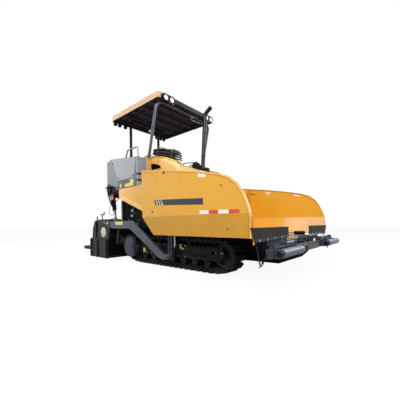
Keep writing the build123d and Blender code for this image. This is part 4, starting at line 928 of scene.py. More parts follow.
# ---------------------------------------------------------------------------- sub-assemblies
@dataclass
class Tracks:
    """Crawler tracks: padded shoes on their links, and the bolts of the side frames."""

    centre_y: float = 940.0
    width: float = 320.0
    shoes: int = 44
    pad_top: float = 60.0
    plate_top: float = 24.0
    gap: float = 9.0
    link_half: float = 76.0
    sprocket: tuple[float, float, float] = (-1270.0, 330.0, 250.0)
    idler: tuple[float, float, float] = (1355.0, 325.0, 245.0)
    ramp_r: float = 110.0
    ramp_xs: tuple[float, float] = (-1040.0, 1150.0)

    def pins(self) -> list[tuple[Vector, Vector]]:
        """Pins along the track's line, each with its outward direction, in X and Z."""
        ramp_z = self.ramp_r + self.pad_top
        rounds = [self.sprocket, (self.ramp_xs[0], ramp_z, self.ramp_r),
                  (self.ramp_xs[1], ramp_z, self.ramp_r), self.idler]
        legs = []
        for (xa, za, ra), (xb, zb, rb) in zip(rounds, rounds[1:] + rounds[:1]):
            reach = math.hypot(xb - xa, zb - za)
            way = Vector((xb - xa, zb - za)) / reach
            tilt = math.asin((ra - rb) / reach)
            normal = Vector((way.y * math.cos(tilt) + way.x * math.sin(tilt),
                             -way.x * math.cos(tilt) + way.y * math.sin(tilt)))
            legs.append((normal, Vector((xa, za)) + normal * ra, Vector((xb, zb)) + normal * rb))
        line = []
        for index, (normal, start, end) in enumerate(legs):
            line += [(start, normal), (end, normal)]
            x, z, radius = rounds[(index + 1) % 4]
            leaving = legs[(index + 1) % 4][0]
            first = math.atan2(normal.y, normal.x)
            turn = (math.atan2(leaving.y, leaving.x) - first) % (2 * math.pi)
            for step in range(1, 40):
                angle = first + turn * step / 40
                out = Vector((math.cos(angle), math.sin(angle)))
                line.append((Vector((x, z)) + out * radius, out))
        line.append(line[0])
        lengths = [(b[0] - a[0]).length for a, b in zip(line, line[1:])]
        total, made, index, past = sum(lengths), [], 0, 0.0
        for shoe in range(self.shoes):
            want = total * shoe / self.shoes
            while past + lengths[index] < want:
                past += lengths[index]
                index += 1
            t = (want - past) / lengths[index]
            (a, na), (b, nb) = line[index], line[index + 1]
            made.append((a.lerp(b, t), na.lerp(nb, t).normalized()))
        return made

    def shoe_shapes(self, pitch: float) -> tuple[Shape, Shape]:
        """One rubber pad, and one plate with its links and bolts, about the origin."""
        half, wide = pitch / 2, self.width / 2
        pad = Shape()
        for low, high in ((-wide, -6.0), (6.0, wide)):
            pad.prism([(-half + self.gap * 2 + 8, self.plate_top), (half - self.gap * 2 - 8, self.plate_top),
                       (half - self.gap * 2, self.pad_top - 10), (half - self.gap * 2 - 12, self.pad_top),
                       (-half + self.gap * 2 + 12, self.pad_top), (-half + self.gap * 2, self.pad_top - 10)],
                      Axis.Y, low, high)
        iron = Shape()
        iron.prism([(-half + self.gap, 8), (half - self.gap, 8), (half - self.gap, 14),
                    (half - self.gap * 2, self.plate_top), (-half + self.gap * 2, self.plate_top),
                    (-half + self.gap, 14)], Axis.Y, -wide, wide)
        for side in (-1, 1):
            low, high = sided(side, self.link_half, self.link_half - 26)
            link = rounded(rect(-half - 16, half + 16, -25, 10), 17, 3)
            iron.prism(link, Axis.Y, low, high)
            iron.rod((-half, side * (self.link_half - 8), 0), (-half, side * (self.link_half + 9), 0), 17, 12)
            iron.rod((0, side * (self.link_half - 13), 2), (0, side * (self.link_half - 13), 12), 22, 8)
        for x in (-half * 0.45, half * 0.45):
            for y in (-wide + 26, wide - 26):
                iron.rod((x, y, -2), (x, y, 9), 11, 6)
        return pad, iron

    def build(self, side: Side) -> None:
        """Build one side's track and the bolts of its frame.

        Args:
            side: Side of the machine.
        """
        pins = self.pins()
        steps = [(a, b) for (a, _), (b, _) in zip(pins, pins[1:] + pins[:1])]
        points, facing, ahead = [], [], []
        for a, b in steps:
            way = (b - a).normalized()
            middle = (a + b) / 2
            points.append((middle.x, side.value * self.centre_y, middle.y))
            facing.append((way.y, 0, -way.x))
            ahead.append((way.x, 0, way.y))
        pitch = sum((a - b).length for a, b in steps) / self.shoes
        pad, iron = self.shoe_shapes(pitch)
        set_along(f"track_pads_{side.word}", pad, points, facing, ahead, PAD_RUBBER, "chassis")
        links = set_along(f"track_links_{side.word}", iron, points, facing, ahead, TRACK_IRON, "chassis")
        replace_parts(links, f"track_{side.word}")

    def frame_details(self) -> None:
        """Bolts, covers and blank labels on both side frames."""
        face = 1050.0
        bolts = Studs(15, 11)
        for x in (-880, -660, -440, -220, 200, 420):
            bolts.add((0, 1, 0), (x, face, 250), (x, face, 462))
        bolts.both().piece("side_frame_bolts", ZINC)
        cover = Shape()
        cover.prism(rounded(rect(560, 1330, 225, 262), 8), Axis.Y, face, face + 9)
        cover.prism(rounded(rect(1210, 1245, 270, 470), 6), Axis.Y, face, face + 12)
        for x in (-750, -300):
            cover.prism(rounded(rect(x, x + 34, 240, 480), 8), Axis.Y, face, face + 14)
        cover.both().piece("side_frame_ribs", BLACK, bevel=2)
        label = Shape()
        label.prism(rect(-988, -908, 255, 345), Axis.Y, face, face + PROUD)
        label.prism([(252, 486), (316, 486), (320, 424), (386, 414), (386, 380), (264, 392)], Axis.Y,
                    face, face + PROUD)
        label.both().piece("side_frame_labels", PALE_YELLOW)
        dash = Shape()
        for x in (1182, 1300):
            dash.prism(rounded([(x, 364), (x + 64, 364), (x + 60, 380), (x + 4, 380)], 5),
                       Axis.Y, face, face + 3)
        dash.both().piece("side_frame_dashes", ZINC)
        sleeves = Shape()
        for x in range(-960, 961, 320):
            sleeves.lathe((x, face - 4, 215), (0, 1, 0), [(0, 30), (16, 30), (22, 24)], 16)
        sleeves.both().piece("roller_axle_caps", TRACK_IRON)
        rims = Studs(9, 6)
        for index in range(9):
            angle = math.radians(70 + index * 27)
            rims.add((0, 1, 0), (-1325 + 218 * math.cos(angle), 1190, 360 + 218 * math.sin(angle)))
        rims.both().piece("drive_guard_bolts", SLATE)
        # Dark plates behind the wheels and rollers: partly roller guards, partly painted shade filling the gaps
        # under the track frames.
        webs = Shape()
        for x, z, radius in ((1355, 325, 205), (-1270, 330, 205)):
            webs.prism(circle(x, z, radius), Axis.Y, 836, 856)
        webs.prism([(1080, 112), (1290, 170), (1290, 420), (1080, 420)], Axis.Y, 836, 856)
        webs.prism([(-1000, 112), (-1220, 180), (-1220, 420), (-1000, 420)], Axis.Y, 836, 856)
        webs.box((-1150, 1300), (838, 854), (52, 118))
        webs.both().piece("wheel_webs", BLACK_AND_SHADE)


@dataclass
class Wings:
    """Hopper wings: bands, blank labels, bosses, ribs and the corner hooks."""

    outer: float = 1712.0
    foot_y: float = 1600.0
    foot_z: float = 688.0
    crease_z: float = 1035.0
    edge: tuple[tuple[float, float], ...] = ((-70.0, 1925.0), (730.0, 1815.0), (1330.0, 1712.0),
                                             (1740.0, 1625.0), (1940.0, 1555.0), (2090.0, 1440.0),
                                             (2190.0, 1290.0), (2250.0, 1150.0), (2300.0, 990.0),
                                             (2300.0, 700.0))

    def edge_band(self, near: float, far: float) -> list[tuple[float, float]]:
        """Closed band along the wall's upper and front edge, between two distances from it.

        Args:
            near: Distance of the band's outer line from the edge.
            far: Distance of its inner line.

        Returns:
            The band's outline in X and Z.
        """
        line = smooth_line([Vector((x, z, 0)) for x, z in self.edge], 75)
        lines: list[list[tuple[float, float]]] = [[], []]
        for index, here in enumerate(line):
            way = (line[min(index + 1, len(line) - 1)] - line[max(index - 1, 0)]).normalized()
            for made, off in zip(lines, (near, far)):
                made.append((here.x + way.y * off, here.y - way.x * off))
        return lines[0] + lines[1][::-1]

    def on_slope(self, z: float) -> float:
        """Y of the sloped foot's outer face at a height."""
        share = (z - self.foot_z) / (self.crease_z - self.foot_z)
        return self.foot_y + (self.outer - self.foot_y) * share

    def build(self, side: Side) -> None:
        """Dress one wing.

        Args:
            side: Side of the machine.
        """
        s, y, body = side.value, self.outer, f"wing_{side.word}"
        low, high = sided(s, y, y + PROUD)
        stripe = Shape().prism([(566, 1229), (1481, 1187), (1479, 1284), (495, 1330)], Axis.Y, low, high)
        cream = Shape()
        for top, foot in ((306, 350), (372, 420), (437, 490)):
            stripe.prism([(foot, 1236), (foot + 44, 1234), (top + 44, 1332), (top, 1334)], Axis.Y, low, high)
            cream.prism([(foot + 45, 1234), (foot + 67, 1233), (top + 63, 1331), (top + 45, 1332)],
                        Axis.Y, low, high)
        stripe.piece(f"wing_stripe_{side.word}", STRIPE, body)
        cream.piece(f"wing_slashes_{side.word}", SLASH_CREAM, body)
        strip = sided(s, y, y + 3)
        # The band along the wall's upper and front edge is a painted highlight in paler yellow.
        Shape().prism(self.edge_band(1, 24), Axis.Y, *strip).piece(f"wing_rim_{side.word}", RIM_HIGHLIGHT, body)
        line = Shape().prism(self.edge_band(25, 33), Axis.Y, low, high)
        line.piece(f"wing_rim_line_{side.word}", RIM_SHADE, body)
        edges = (1410, 1590, 1765, 1950, 2128)
        for name, finish, first in (("white", WHITE, 0), ("red", TAPE_RED, 1)):
            tape = Shape()
            for start, end in list(zip(edges, edges[1:]))[first::2]:
                foot, far_foot = 1046 - 0.013 * (start - 1410), 1046 - 0.013 * (end - 1410)
                tape.prism([(start + 3, foot), (end - 3, far_foot), (end - 3, far_foot + 52),
                            (start + 3, foot + 55)], Axis.Y, low, high)
            tape.piece(f"wing_tape_{name}_{side.word}", finish, body)
        labels = Shape()
        labels.prism([(1392, 1612), (1517, 1589), (1547, 1635), (1380, 1666)], Axis.Y, low, high)
        inner = sided(s, y - 12, y - 12 - PROUD)
        labels.prism([(800, 1712), (922, 1692), (940, 1728), (782, 1752)], Axis.Y, *inner)
        labels.prism([(1574, 1584), (1704, 1554), (1722, 1582), (1556, 1614)], Axis.Y, *inner)
        labels.piece(f"wing_labels_{side.word}", WHITE, body)
        marks = Shape()
        for x in (36, 132, 330):
            marks.prism([(x, 1112), (x + 26, 1108), (x + 46, 1146), (x + 14, 1152)], Axis.Y, low, high)
        marks.piece(f"wing_marks_{side.word}", PALE_YELLOW, body)
        dot = Shape().lathe((253, s * y, 1121), (0, s, 0), [(0, 19), (PROUD, 19)], 16)
        dot.piece(f"wing_dot_{side.word}", SLATE, body)
        ring = Shape().lathe((582, s * (y - 1), 1796), (0, s, 0),
                             [(0, 27), (6, 27), (8, 23), (8, 18), (4, 18)], 24)
        ring.piece(f"wing_eye_{side.word}", RIM_SHADE, body)
        # Near-black disc in the eye: painted shade standing in for the open hole.
        hole = Shape().lathe((582, s * (y - 1), 1796), (0, s, 0), [(0, 19), (5, 19)], 24)
        hole.piece(f"wing_eye_hole_{side.word}", BLACK_AND_SHADE, body)
        bosses = Shape()
        for x, z in ((1818, 1444), (620, 1100)):
            bosses.lathe((x, s * y, z), (0, s, 0), [(-1, 26), (5, 26), (7, 23)], 24)
        slope = Vector((0, s * (self.crease_z - self.foot_z), self.foot_y - self.outer)).normalized()
        for x, z in ((1883, 832), (700, 832)):
            bosses.lathe((x, s * self.on_slope(z), z), slope, [(-1, 28), (5, 28), (7, 25)], 24)
        bosses.piece(f"wing_bosses_{side.word}", YELLOW, body)
        bolts = Studs(10, 6).add((0, s, 0), (1818, s * (y + 7), 1444))
        bolts.add(slope, (1883, s * (self.on_slope(832) + 7), 831))
        bolts.piece(f"wing_boss_bolts_{side.word}", RIM_SHADE, body)
        # Dark yellow triangle on the inner face: painted shade of the recess at the wing's rear inner corner.
        pocket = Shape().prism([(285, 1760), (520, 1716), (520, 1700), (330, 1690)], Axis.Y,
                               *sided(s, y - 12, y - 13.5))
        pocket.piece(f"wing_pocket_{side.word}", RIM_SHADE, body)
        # Pale cream strip on the sloped foot's inner face and a sheet on the floor: a painted reflection of the
        # bright surroundings.
        sky_reflection = Shape()
        sky_reflection.prism([(s * 1590.5, 709), (s * 1592.5, 709), (s * 1699.5, 1031), (s * 1697.5, 1031)],
                    Axis.X, 1330, 2290)
        sky_reflection.prism([(1200, s * 640), (2290, s * 640), (2290, s * 1588), (1420, s * 1588)], Axis.Z, 706, 707.2)
        sky_reflection.piece(f"wing_scuff_{side.word}", SLOPE_REFLECTION, body)
        hook = Shape()
        hook.prism([(2270, 700), (2300, 700), (2300, 628), (2286, 606), (2270, 612)], Axis.Y,
                   *sided(s, 1612, 1624))
        hook.piece(f"wing_hook_{side.word}", YELLOW, body, 1.5)
        ribs = Shape()
        for x in (640, 1120, 1600, 2080):
            ribs.prism([(s * 680, 695), (s * 1500, 695), (s * 1480, 680), (s * 700, 680)], Axis.X, x, x + 12)
        ribs.piece(f"wing_floor_ribs_{side.word}", YELLOW, body)
        spots = [(2334.0, s * (620 + 235 * i), 681 - 4 * i) for i in range(5)]
        Studs(13, 9).add((1, 0, 0), *spots).piece(f"flap_bolts_{side.word}", BRIGHT_BOLT, body)


@dataclass
class PushBeam:
    """Push rollers' caps and bearings, the beam's plates and its hanging chains."""

    roller_x: float = 2588.0
    roller_z: float = 498.0
    inner: float = 720.0
    outer: float = 1460.0
    link_pitch: float = 30.0

    def build(self) -> None:
        """Dress the beam."""
        caps = Shape()
        for y in (self.inner - 40, self.outer + 36):
            way = -1 if y < self.inner else 1
            caps.lathe((self.roller_x, y, self.roller_z), (0, way, 0),
                       [(0, 46), (10, 46), (16, 34), (20, 20)], 24)
        caps.both().piece("roller_bearings", BLACK, "push_beam")
        bolts = Studs(7, 6)
        for index in range(6):
            angle = math.radians(60 * index)
            spot = (self.roller_x + 36 * math.cos(angle), self.outer + 46, self.roller_z + 36 * math.sin(angle))
            bolts.add((0, 1, 0), spot)
        for x in (2440, 2480):
            bolts.add((0, 1, 0), (x, self.outer + 96, 470), (x, self.outer + 96, 520))
        for y in (340, 470, 600):
            bolts.add((1, 0, 0), (2500, y, 462), (2500, y, 515))
        bolts.both().piece("beam_bolts", SLATE, "push_beam")
        ends = Shape()
        ends.prism(rounded([(2412, 428), (2506, 428), (2520, 470), (2506, 548), (2412, 552)], 12),
                   Axis.Y, 1491, 1556)
        ends.box((2418, 2540), (1497, 1508), (446, 560))
        ends.both().piece("beam_ends", SLATE, "push_beam", 3)
        skirt = Shape()
        skirt.prism([(1494, 500), (1548, 500), (1584, 352), (1600, 400), (1600, 592), (1494, 592)],
                    Axis.X, 2392, 2400)
        skirt.both().piece("corner_skirts", BLACK_AND_SHADE, "push_beam")
        plates = Shape()
        plates.prism(rounded(rect(2424, 2496, -620, 620), 12), Axis.Z, 540, 552)
        for y in (-250, -90, 70, 230):
            plates.box((2500, 2556), (y, y + 14), (446, 512))
        for s in (-1, 1):
            plates.box((2430, 2490), sided(s, 640, 1440), (552, 578))
            plates.box((2400, 2420), sided(s, 600, 1400), (470, 600))
            for y in (660, 1010, 1400):
                plates.prism([(2410, 552), (2500, 552), (2492, 626), (2420, 626)], Axis.Y, *sided(s, y, y + 30))
        plates.piece("beam_plates", SLATE, "push_beam", 1.5)
        lock = Shape()
        for s in (-1, 1):
            lock.lathe((2456, s * 690, 604), (0, s, 0), [(0, 20), (4, 28), (300, 28), (304, 18), (320, 18)], 24)
        lock.piece("lock_cylinders", ROLLER, "push_beam")
        mark = Shape().box((2500, 2501.5), (-330, -190), (520, 536))
        mark.piece("beam_marker", ORANGE_MARK, "push_beam")
        for side in Side:
            self.chain(side)

    def chain(self, side: Side) -> None:
        """Hang one corner chain in a V between the beam's end and the wing's corner.

        Args:
            side: Side of the machine.
        """
        s = side.value
        corners = [Vector((2330, s * 1640, 606)), Vector((2368, s * 1606, 322)), Vector((2446, s * 1550, 505))]
        line = smooth_line(corners, 26)
        points, ways = spaced(line, self.link_pitch)
        link = Shape()
        ring = rounded(rect(-23, 23, -10, 10), 10, 3)
        link.pipe([(x, y, 0) for x, y in ring + ring[:1]], 4.2, 1.0, 6)
        facing = []
        for index, way in enumerate(ways):
            flat = way.cross(Vector((0, 0, 1)) if abs(way.z) < 0.9 else Vector((1, 0, 0))).normalized()
            facing.append(flat if index % 2 else way.cross(flat))
        set_along(f"corner_chain_{side.word}", link, points, facing, ways, TRACK_IRON, "push_beam")


def spaced(line: Sequence[Vector], step: float) -> tuple[list[Vector], list[Vector]]:
    """Evenly spaced points of a line with its direction at each.

    Args:
        line: Points of the line.
        step: Distance between the points wanted.

    Returns:
        The points and the directions.
    """
    total = sum((b - a).length for a, b in zip(line, line[1:]))
    count = max(2, round(total / step))
    points, ways, index, past = [], [], 0, 0.0
    for number in range(count):
        want = total * (number + 0.5) / count
        while past + (line[index + 1] - line[index]).length < want:
            past += (line[index + 1] - line[index]).length
            index += 1
        leg = line[index + 1] - line[index]
        points.append(line[index] + leg * ((want - past) / leg.length))
        ways.append(leg.normalized())
    return points, ways


@dataclass
class Hood:
    """Engine hood with its lowered top, lips, louvres, seams, latches and exhaust base."""

    side_y: float = 900.0
    exhaust_x: float = -290.0
    exhaust_y: float = 335.0
    middle: tuple[tuple[float, float], ...] = ((-899.0, 2352.0), (-600.0, 2290.0),
                                               (-300.0, 2236.0), (-2.0, 2180.0))
    far: tuple[tuple[float, float], ...] = ((-899.0, 2468.0), (-700.0, 2424.0), (-378.0, 2350.0),
                                            (-112.0, 2276.0))
    ridge_y: float = -620.0
    step_y: float = 700.0

    def lowered(self, node: bpy.types.Object) -> None:
        """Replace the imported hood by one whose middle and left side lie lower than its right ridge.

        Args:
            node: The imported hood.
        """
        mesh = bmesh.new()
        mesh.from_mesh(node.data)
        bmesh.ops.remove_doubles(mesh, verts=list(mesh.verts), dist=1e-5)
        data = bpy.data.meshes.new("hood_body")
        mesh.to_mesh(data)
        mesh.free()
        item = dressed("hood_body", data, HOOD_SHEEN)
        cutters = []
        for line, low, high in ((self.middle, self.ridge_y, self.step_y),
                                (self.far, self.step_y, self.side_y + 20)):
            start, end, over = line[0][0] - 20, line[-1][0] + 60, 2700.0
            outline = [(start, line[0][1]), *line, (end, over), (start, over)]
            shape = Shape().prism(outline, Axis.Y, low, high)
            cutter = dressed("hood_cutter", shape.plain_mesh("hood_cutter"), HOOD_SHEEN)
            cutters.append(cutter)
            cut = item.modifiers.new("lowered", "BOOLEAN")
            cut.operation, cut.solver, cut.object = "DIFFERENCE", "EXACT", cutter
        graph = bpy.context.evaluated_depsgraph_get()
        item.data = bpy.data.meshes.new_from_object(item.evaluated_get(graph))
        item.modifiers.clear()
        for cutter in cutters:
            bpy.data.objects.remove(cutter)
        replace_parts(riding(item, "chassis"), "hood")
        deck = Shape()
        for line, low, high in ((self.middle, self.ridge_y - 4, self.step_y + 4),
                                (self.far, self.step_y, self.side_y - 1)):
            under = [(x, z - 8) for x, z in reversed(line)]
            deck.prism(list(line) + under, Axis.Y, low, high)
        ridge = [(-899, 2543), (-580, 2473), (-390, 2420), (-200, 2343), (-90, 2260), (-12, 2182)]
        deck.prism(ridge + [(x, z - 6) for x, z in reversed(self.middle)], Axis.Y,
                   self.ridge_y - 6, self.ridge_y)
        deck.prism(list(self.far) + [(x, z - 6) for x, z in reversed(self.middle)], Axis.Y, self.step_y,
                   self.step_y + 6)
        deck.piece("hood_deck", HOOD_SHEEN)

    def build(self, node: bpy.types.Object) -> None:
        """Dress the hood and the exhaust.

        Args:
            node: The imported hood.
        """
        self.lowered(node)
        vent = [(-850, 2170), (-850, 2330), (-640, 2285), (-520, 2240), (-455, 2170)]
        wide = [(-872, 2152), (-872, 2354), (-632, 2307), (-504, 2256), (-424, 2152)]
        lip = Shape()
        outer, inner = rounded(wide, 34), rounded(vent, 26)
        lip.band(outer, inner, Axis.Y, self.side_y - 2, self.side_y + 12)
        lip.both().piece("vent_lips", YELLOW, bevel=1.5)
        starts = [(-655, -self.side_y + 26, 2184), (-655, self.side_y - 26, 2184)]
        bar_row("vent_louvres", starts, 9, (0, 0, 17), (410, 22, 3), BLACK, "chassis")
        # Near-black sheet behind the louvres: painted shade inside the vent.
        box = Shape().box((-870, -430), (self.side_y - 60, self.side_y - 40), (2140, 2360))
        box.both().piece("vent_backs", BLACK_AND_SHADE)
        seams = Shape()
        for x, top in ((-895, 2546.5), (-575, 2474), (-86, 2260)):
            seams.box((x, x + 5), (-790, self.ridge_y - 8), (top - 5, top + 0.8))
            for s in (-1, 1):
                seams.box((x, x + 5), sided(s, self.side_y - 1, self.side_y + 0.8), (1725, top - 110))
        seams.piece("hood_seams", BLACK_AND_SHADE)
        latches = Shape()
        for x in (-790, -330):
            latches.prism(rounded(rect(x, x + 110, 1860, 1905), 10), Axis.Y, self.side_y, self.side_y + 14)
        latches.both().piece("hood_latches", BLACK, bevel=2)
        x, y = self.exhaust_x, self.exhaust_y
        cheek = Shape().box((-899, -892), (901, 998), (1786, 2502))
        cheek.prism(rect(-892, -868, 2240, 2500), Axis.Y, 901, 908)
        cheek.both().piece("hood_cheeks", HOOD_SHEEN, bevel=3)
        base = Shape()
        base.lathe((x, y, 2276), (0, 0, 1), [(0, 92), (34, 92), (40, 80), (44, 80)], 28)
        base.box((-420, -150), (240, 440), (2190, 2300))
        base.prism(rounded([(-594, 2270), (-420, 2250), (-412, 2440), (-470, 2500), (-594, 2512)], 14),
                   Axis.Y, 262, 398)
        base.box((-560, -470), (280, 350), (2500, 2534))
        base.rod((-440, 300, 2430), (-440, 300, 2492), 30, 20)
        base.pipe([(-1030, 330, 2500), (-1004, 330, 2588), (-600, 330, 2540), (-560, 330, 2490)], 12, 40)
        base.box((-392, -300), (250, 420), (2292, 2400)).box((-220, -120), (300, 400), (2262, 2330))
        base.rod((-360, 262, 2390), (-360, 262, 2450), 24, 16)
        base.piece("exhaust_base", BLACK, bevel=2)
        clamp = Shape()
        for z in (2640, 3540):
            middle = x + 90 * (z - 2432) / 1283
            clamp.lathe((middle, y, z), (0.07, 0, 1), [(0, 57), (22, 57)], 24)
            clamp.box((middle - 10, middle + 10), (y + 54, y + 80), (z, z + 22))
        clamp.piece("exhaust_clamps", BLACK, bevel=1)


@dataclass
class Platform:
    """Consoles, dash, controls, deck plates and what hangs under the deck."""

    console_y: float = 1200.0
    pod_ys: tuple[float, float] = (-150.0, 800.0)

    def build(self) -> None:
        """Dress the operator's platform."""
        y = self.console_y
        panel = Shape().prism(rounded([(-2104, 2580), (-1012, 2452), (-1085, 2006), (-1796, 2001)], 30),
                              Axis.Y, y, y + 9)
        panel.both().piece("console_panels", PANEL, bevel=3)
        band = Shape().prism(rounded([(-1822, 1796), (-1000, 1800), (-1000, 1990), (-1800, 1992)], 10),
                             Axis.Y, y, y + 7)
        band.both().piece("console_bands", SHELL_DARK, bevel=2)
        labels = Shape()
        labels.prism(rect(-1718, -1650, 1820, 1915), Axis.Y, y + 7, y + 7 + PROUD)
        labels.prism([(-1493, 1820), (-1127, 1818), (-1122, 1972), (-1252, 1978), (-1266, 1900), (-1491, 1882)],
                     Axis.Y, y + 7, y + 7 + PROUD)
        labels.both().piece("console_labels", PALE_YELLOW)
        bolts = Studs(15, 7, 12)
        for x, z in ((-2045, 2480), (-1128, 2052), (-1768, 2060)):
            bolts.add((0, 1, 0), (x, y + 9, z))
        bolts.add((0, 1, 0), (-2285, y, 2490), (-2310, y, 1900))
        bolts.both().piece("console_bolts", BLACK)
        rear = Shape().prism(rounded(rect(-1180, -1030, 1830, 2310), 30), Axis.X, -2366, -2360)
        rear.both().piece("console_rear_panels", SHELL_DARK, bevel=2)
        side = Shape().box((-1012, -946), (1200, 1203), (1796, 2440))
        side.box((-949, -946), (1000, 1203), (1796, 2440))
        side.both().piece("console_fronts", CABINET, bevel=1)
        hinges = Shape()
        for z in (1912, 2058):
            hinges.box((-1010, -940), (1203, 1207), (z, z + 30)).box((-946, -930), (1004, 1203), (z, z + 30))
        hinges.box((-1022, -1010), (1200, 1206), (1796, 2090))
        hinges.both().piece("console_stays", BLACK)
        foot = Shape().prism([(-2362, 1778), (-2362, 1972), (-2300, 1972), (-1962, 1858), (-1934, 1778)],
                             Axis.Y, y, y + 5)
        foot.box((-2364, -2360), (1000, 1204), (1778, 1972))
        foot.both().piece("console_feet", BLACK, bevel=2)
        self.controls()
        self.deck()
        self.underside()

    def controls(self) -> None:
        """Instrument pods, levers and screens on the dash."""
        face = Shape()
        for y in self.pod_ys:
            face.prism(rounded(rect(-1132, -1036, y - 200, y + 200), 20), Axis.Z, 2500, 2510)
        face.box((-1146, -1138), (-820, 820), (1850, 2240))
        face.piece("dash_panels", BLACK, bevel=2)
        pod = Shape()
        for y in self.pod_ys:
            pod.prism([(-1130, 2330), (-1020, 2512), (-1040, 2560), (-1105, 2560), (-1190, 2400),
                       (-1190, 2330)], Axis.Y, y - 170, y + 170)
            pod.lathe((-1090, y, 2555), (-0.35, 0, 1), [(0, 16), (60, 14), (66, 26), (84, 28), (96, 18)], 16)
        pod.piece("control_pods", BLACK, bevel=6)
        knobs = Studs(11, 14, 12)
        tilt = (-0.86, 0, 0.5)
        for y in self.pod_ys:
            for row in range(2):
                for column in range(5):
                    knobs.add(tilt, (-1168 + 26 * row, y - 120 + 60 * column, 2444 + 46 * row))
        knobs.piece("control_knobs", ZINC)
        screen = Shape()
        for y in (-290, -20):
            screen.prism([(-1125, 2490), (-1100, 2640), (-1086, 2640), (-1105, 2490)], Axis.Y, y - 70, y + 70)
        screen.piece("dash_screens", BLACK_AND_SHADE, bevel=3)

    def deck(self) -> None:
        """Tread lozenges on the deck's floor and its toe boards."""
        z = DECK_Z
        points, ahead = [], []
        for row in range(14):
            for column in range(24):
                points.append((-2310 + 82 * row, -930 + 81 * column, z))
                ahead.append((1, 1 if (row + column) % 2 else -1, 0))
        lozenge = Shape().prism([(-17, 0), (0, -5), (17, 0), (0, 5)], Axis.Z, 0, 2.4)
        set_along("deck_tread", lozenge, points, [(0, 0, 1)] * len(points), ahead, ZINC, "chassis")
        boards = Shape()
        boards.box((-2358, -2348), (-990, -480), (z, z + 110)).box((-2358, -2348), (480, 990), (z, z + 110))
        boards.piece("toe_boards", SLATE, bevel=1.5)

    def underside(self) -> None:
        """Hydraulic blocks, pipes and the red reservoir under the deck's corners."""
        blocks = Shape()
        for x, z in ((-1290, 1200), (-1310, 1078), (-1400, 900), (-1100, 880)):
            blocks.prism(rounded(rect(x, x + 90, z, z + 60), 8), Axis.Y, 1138, 1172)
        blocks.rod((-1703, 1166, 1010), (-1703, 1166, 1490), 22, 18)
        blocks.lathe((-1703, 1166, 1000), (0, 0, 1), [(0, 30), (30, 30)], 18)
        blocks.both().piece("hydraulic_blocks", ZINC, bevel=2)
        small = Studs(10, 12)
        for x, z in ((-1230, 1290), (-1180, 1170), (-1450, 1010), (-1250, 980), (-1010, 1000), (-800, 960)):
            small.add((0, 1, 0), (x, 1143, z))
        small.both().piece("tank_fittings", ZINC)
        # Near-black walls under the flanks: painted shade where the tractor's side lies in shadow.
        walls = Shape().box((-1738, -200), (1104, 1143), (1150, 1716))
        walls.both().piece("side_walls", BLACK_AND_SHADE)
        pipes = Shape()
        pipes.pipe([(-2215, 1290, 1880), (-2150, 1290, 1740), (-2085, 1292, 1540), (-1970, 1292, 1390),
                    (-1880, 1292, 1300), (-1850, 1292, 1240)], 17, 90, 12)
        pipes.pipe([(-2040, 1296, 1850), (-1985, 1296, 1640), (-1980, 1296, 1480), (-1915, 1296, 1330),
                    (-1905, 1296, 1240)], 14, 80, 12)
        pipes.pipe([(-1990, 1288, 1800), (-1972, 1288, 1520), (-1900, 1288, 1420), (-1860, 1288, 1236)],
                   11, 70, 10)
        pipes.pipe([(-1800, 1190, 1560), (-1850, 1288, 1430), (-1880, 1288, 1330), (-1800, 1288, 1250)],
                   9, 60, 10)
        for x, z in ((-2150, 1740), (-2010, 1440), (-1880, 1300)):
            pipes.box((x - 14, x + 70), (1270, 1312), (z - 12, z + 12))
        pipes.box((-2262, -1960), (1204, 1310), (1846, 1866))
        pipes.both().piece("hydraulic_lines", BLACK_AND_SHADE, bevel=2)
        ring = Shape().pipe([(-1930 + 140 * math.cos(a), 1318, 1262 + 125 * math.sin(a))
                             for a in [math.radians(20 * k) for k in range(19)]], 5, 20, 8)
        ring.both().piece("grease_lines", BLACK_AND_SHADE)
        unions = Shape()
        for x, z in ((-2190, 1800), (-2112, 1640), (-1856, 1262)):
            unions.lathe((x, 1290, z), (0.35, 0, -1), [(0, 20), (6, 25), (40, 25), (46, 20)], 12)
        unions.both().piece("pipe_unions", ZINC)
        red = Shape()
        red.lathe((-1872, 1314, 1512), (-0.3, 0, 1), [(0, 24), (8, 38), (122, 38), (136, 24), (150, 20)], 20)
        red.both().piece("red_reservoirs", RED)
        # The flank's bevelled lower rim is a painted highlight in paler yellow.
        rim = Shape().prism([(-1689, 1592), (-1636, 1524), (-724, 1196), (-724, 1312), (-1606, 1630),
                             (-1689, 1712)], Axis.Y, 1249, 1254)
        rim.both().piece("flank_rims", RIM_HIGHLIGHT, bevel=3)
        straps = Shape()
        straps.box((-1966, -1886), (1262, 1272), (1600, 1846)).box((-1966, -1886), (1272, 1318), (1590, 1608))
        straps.both().piece("reservoir_brackets", BLACK)


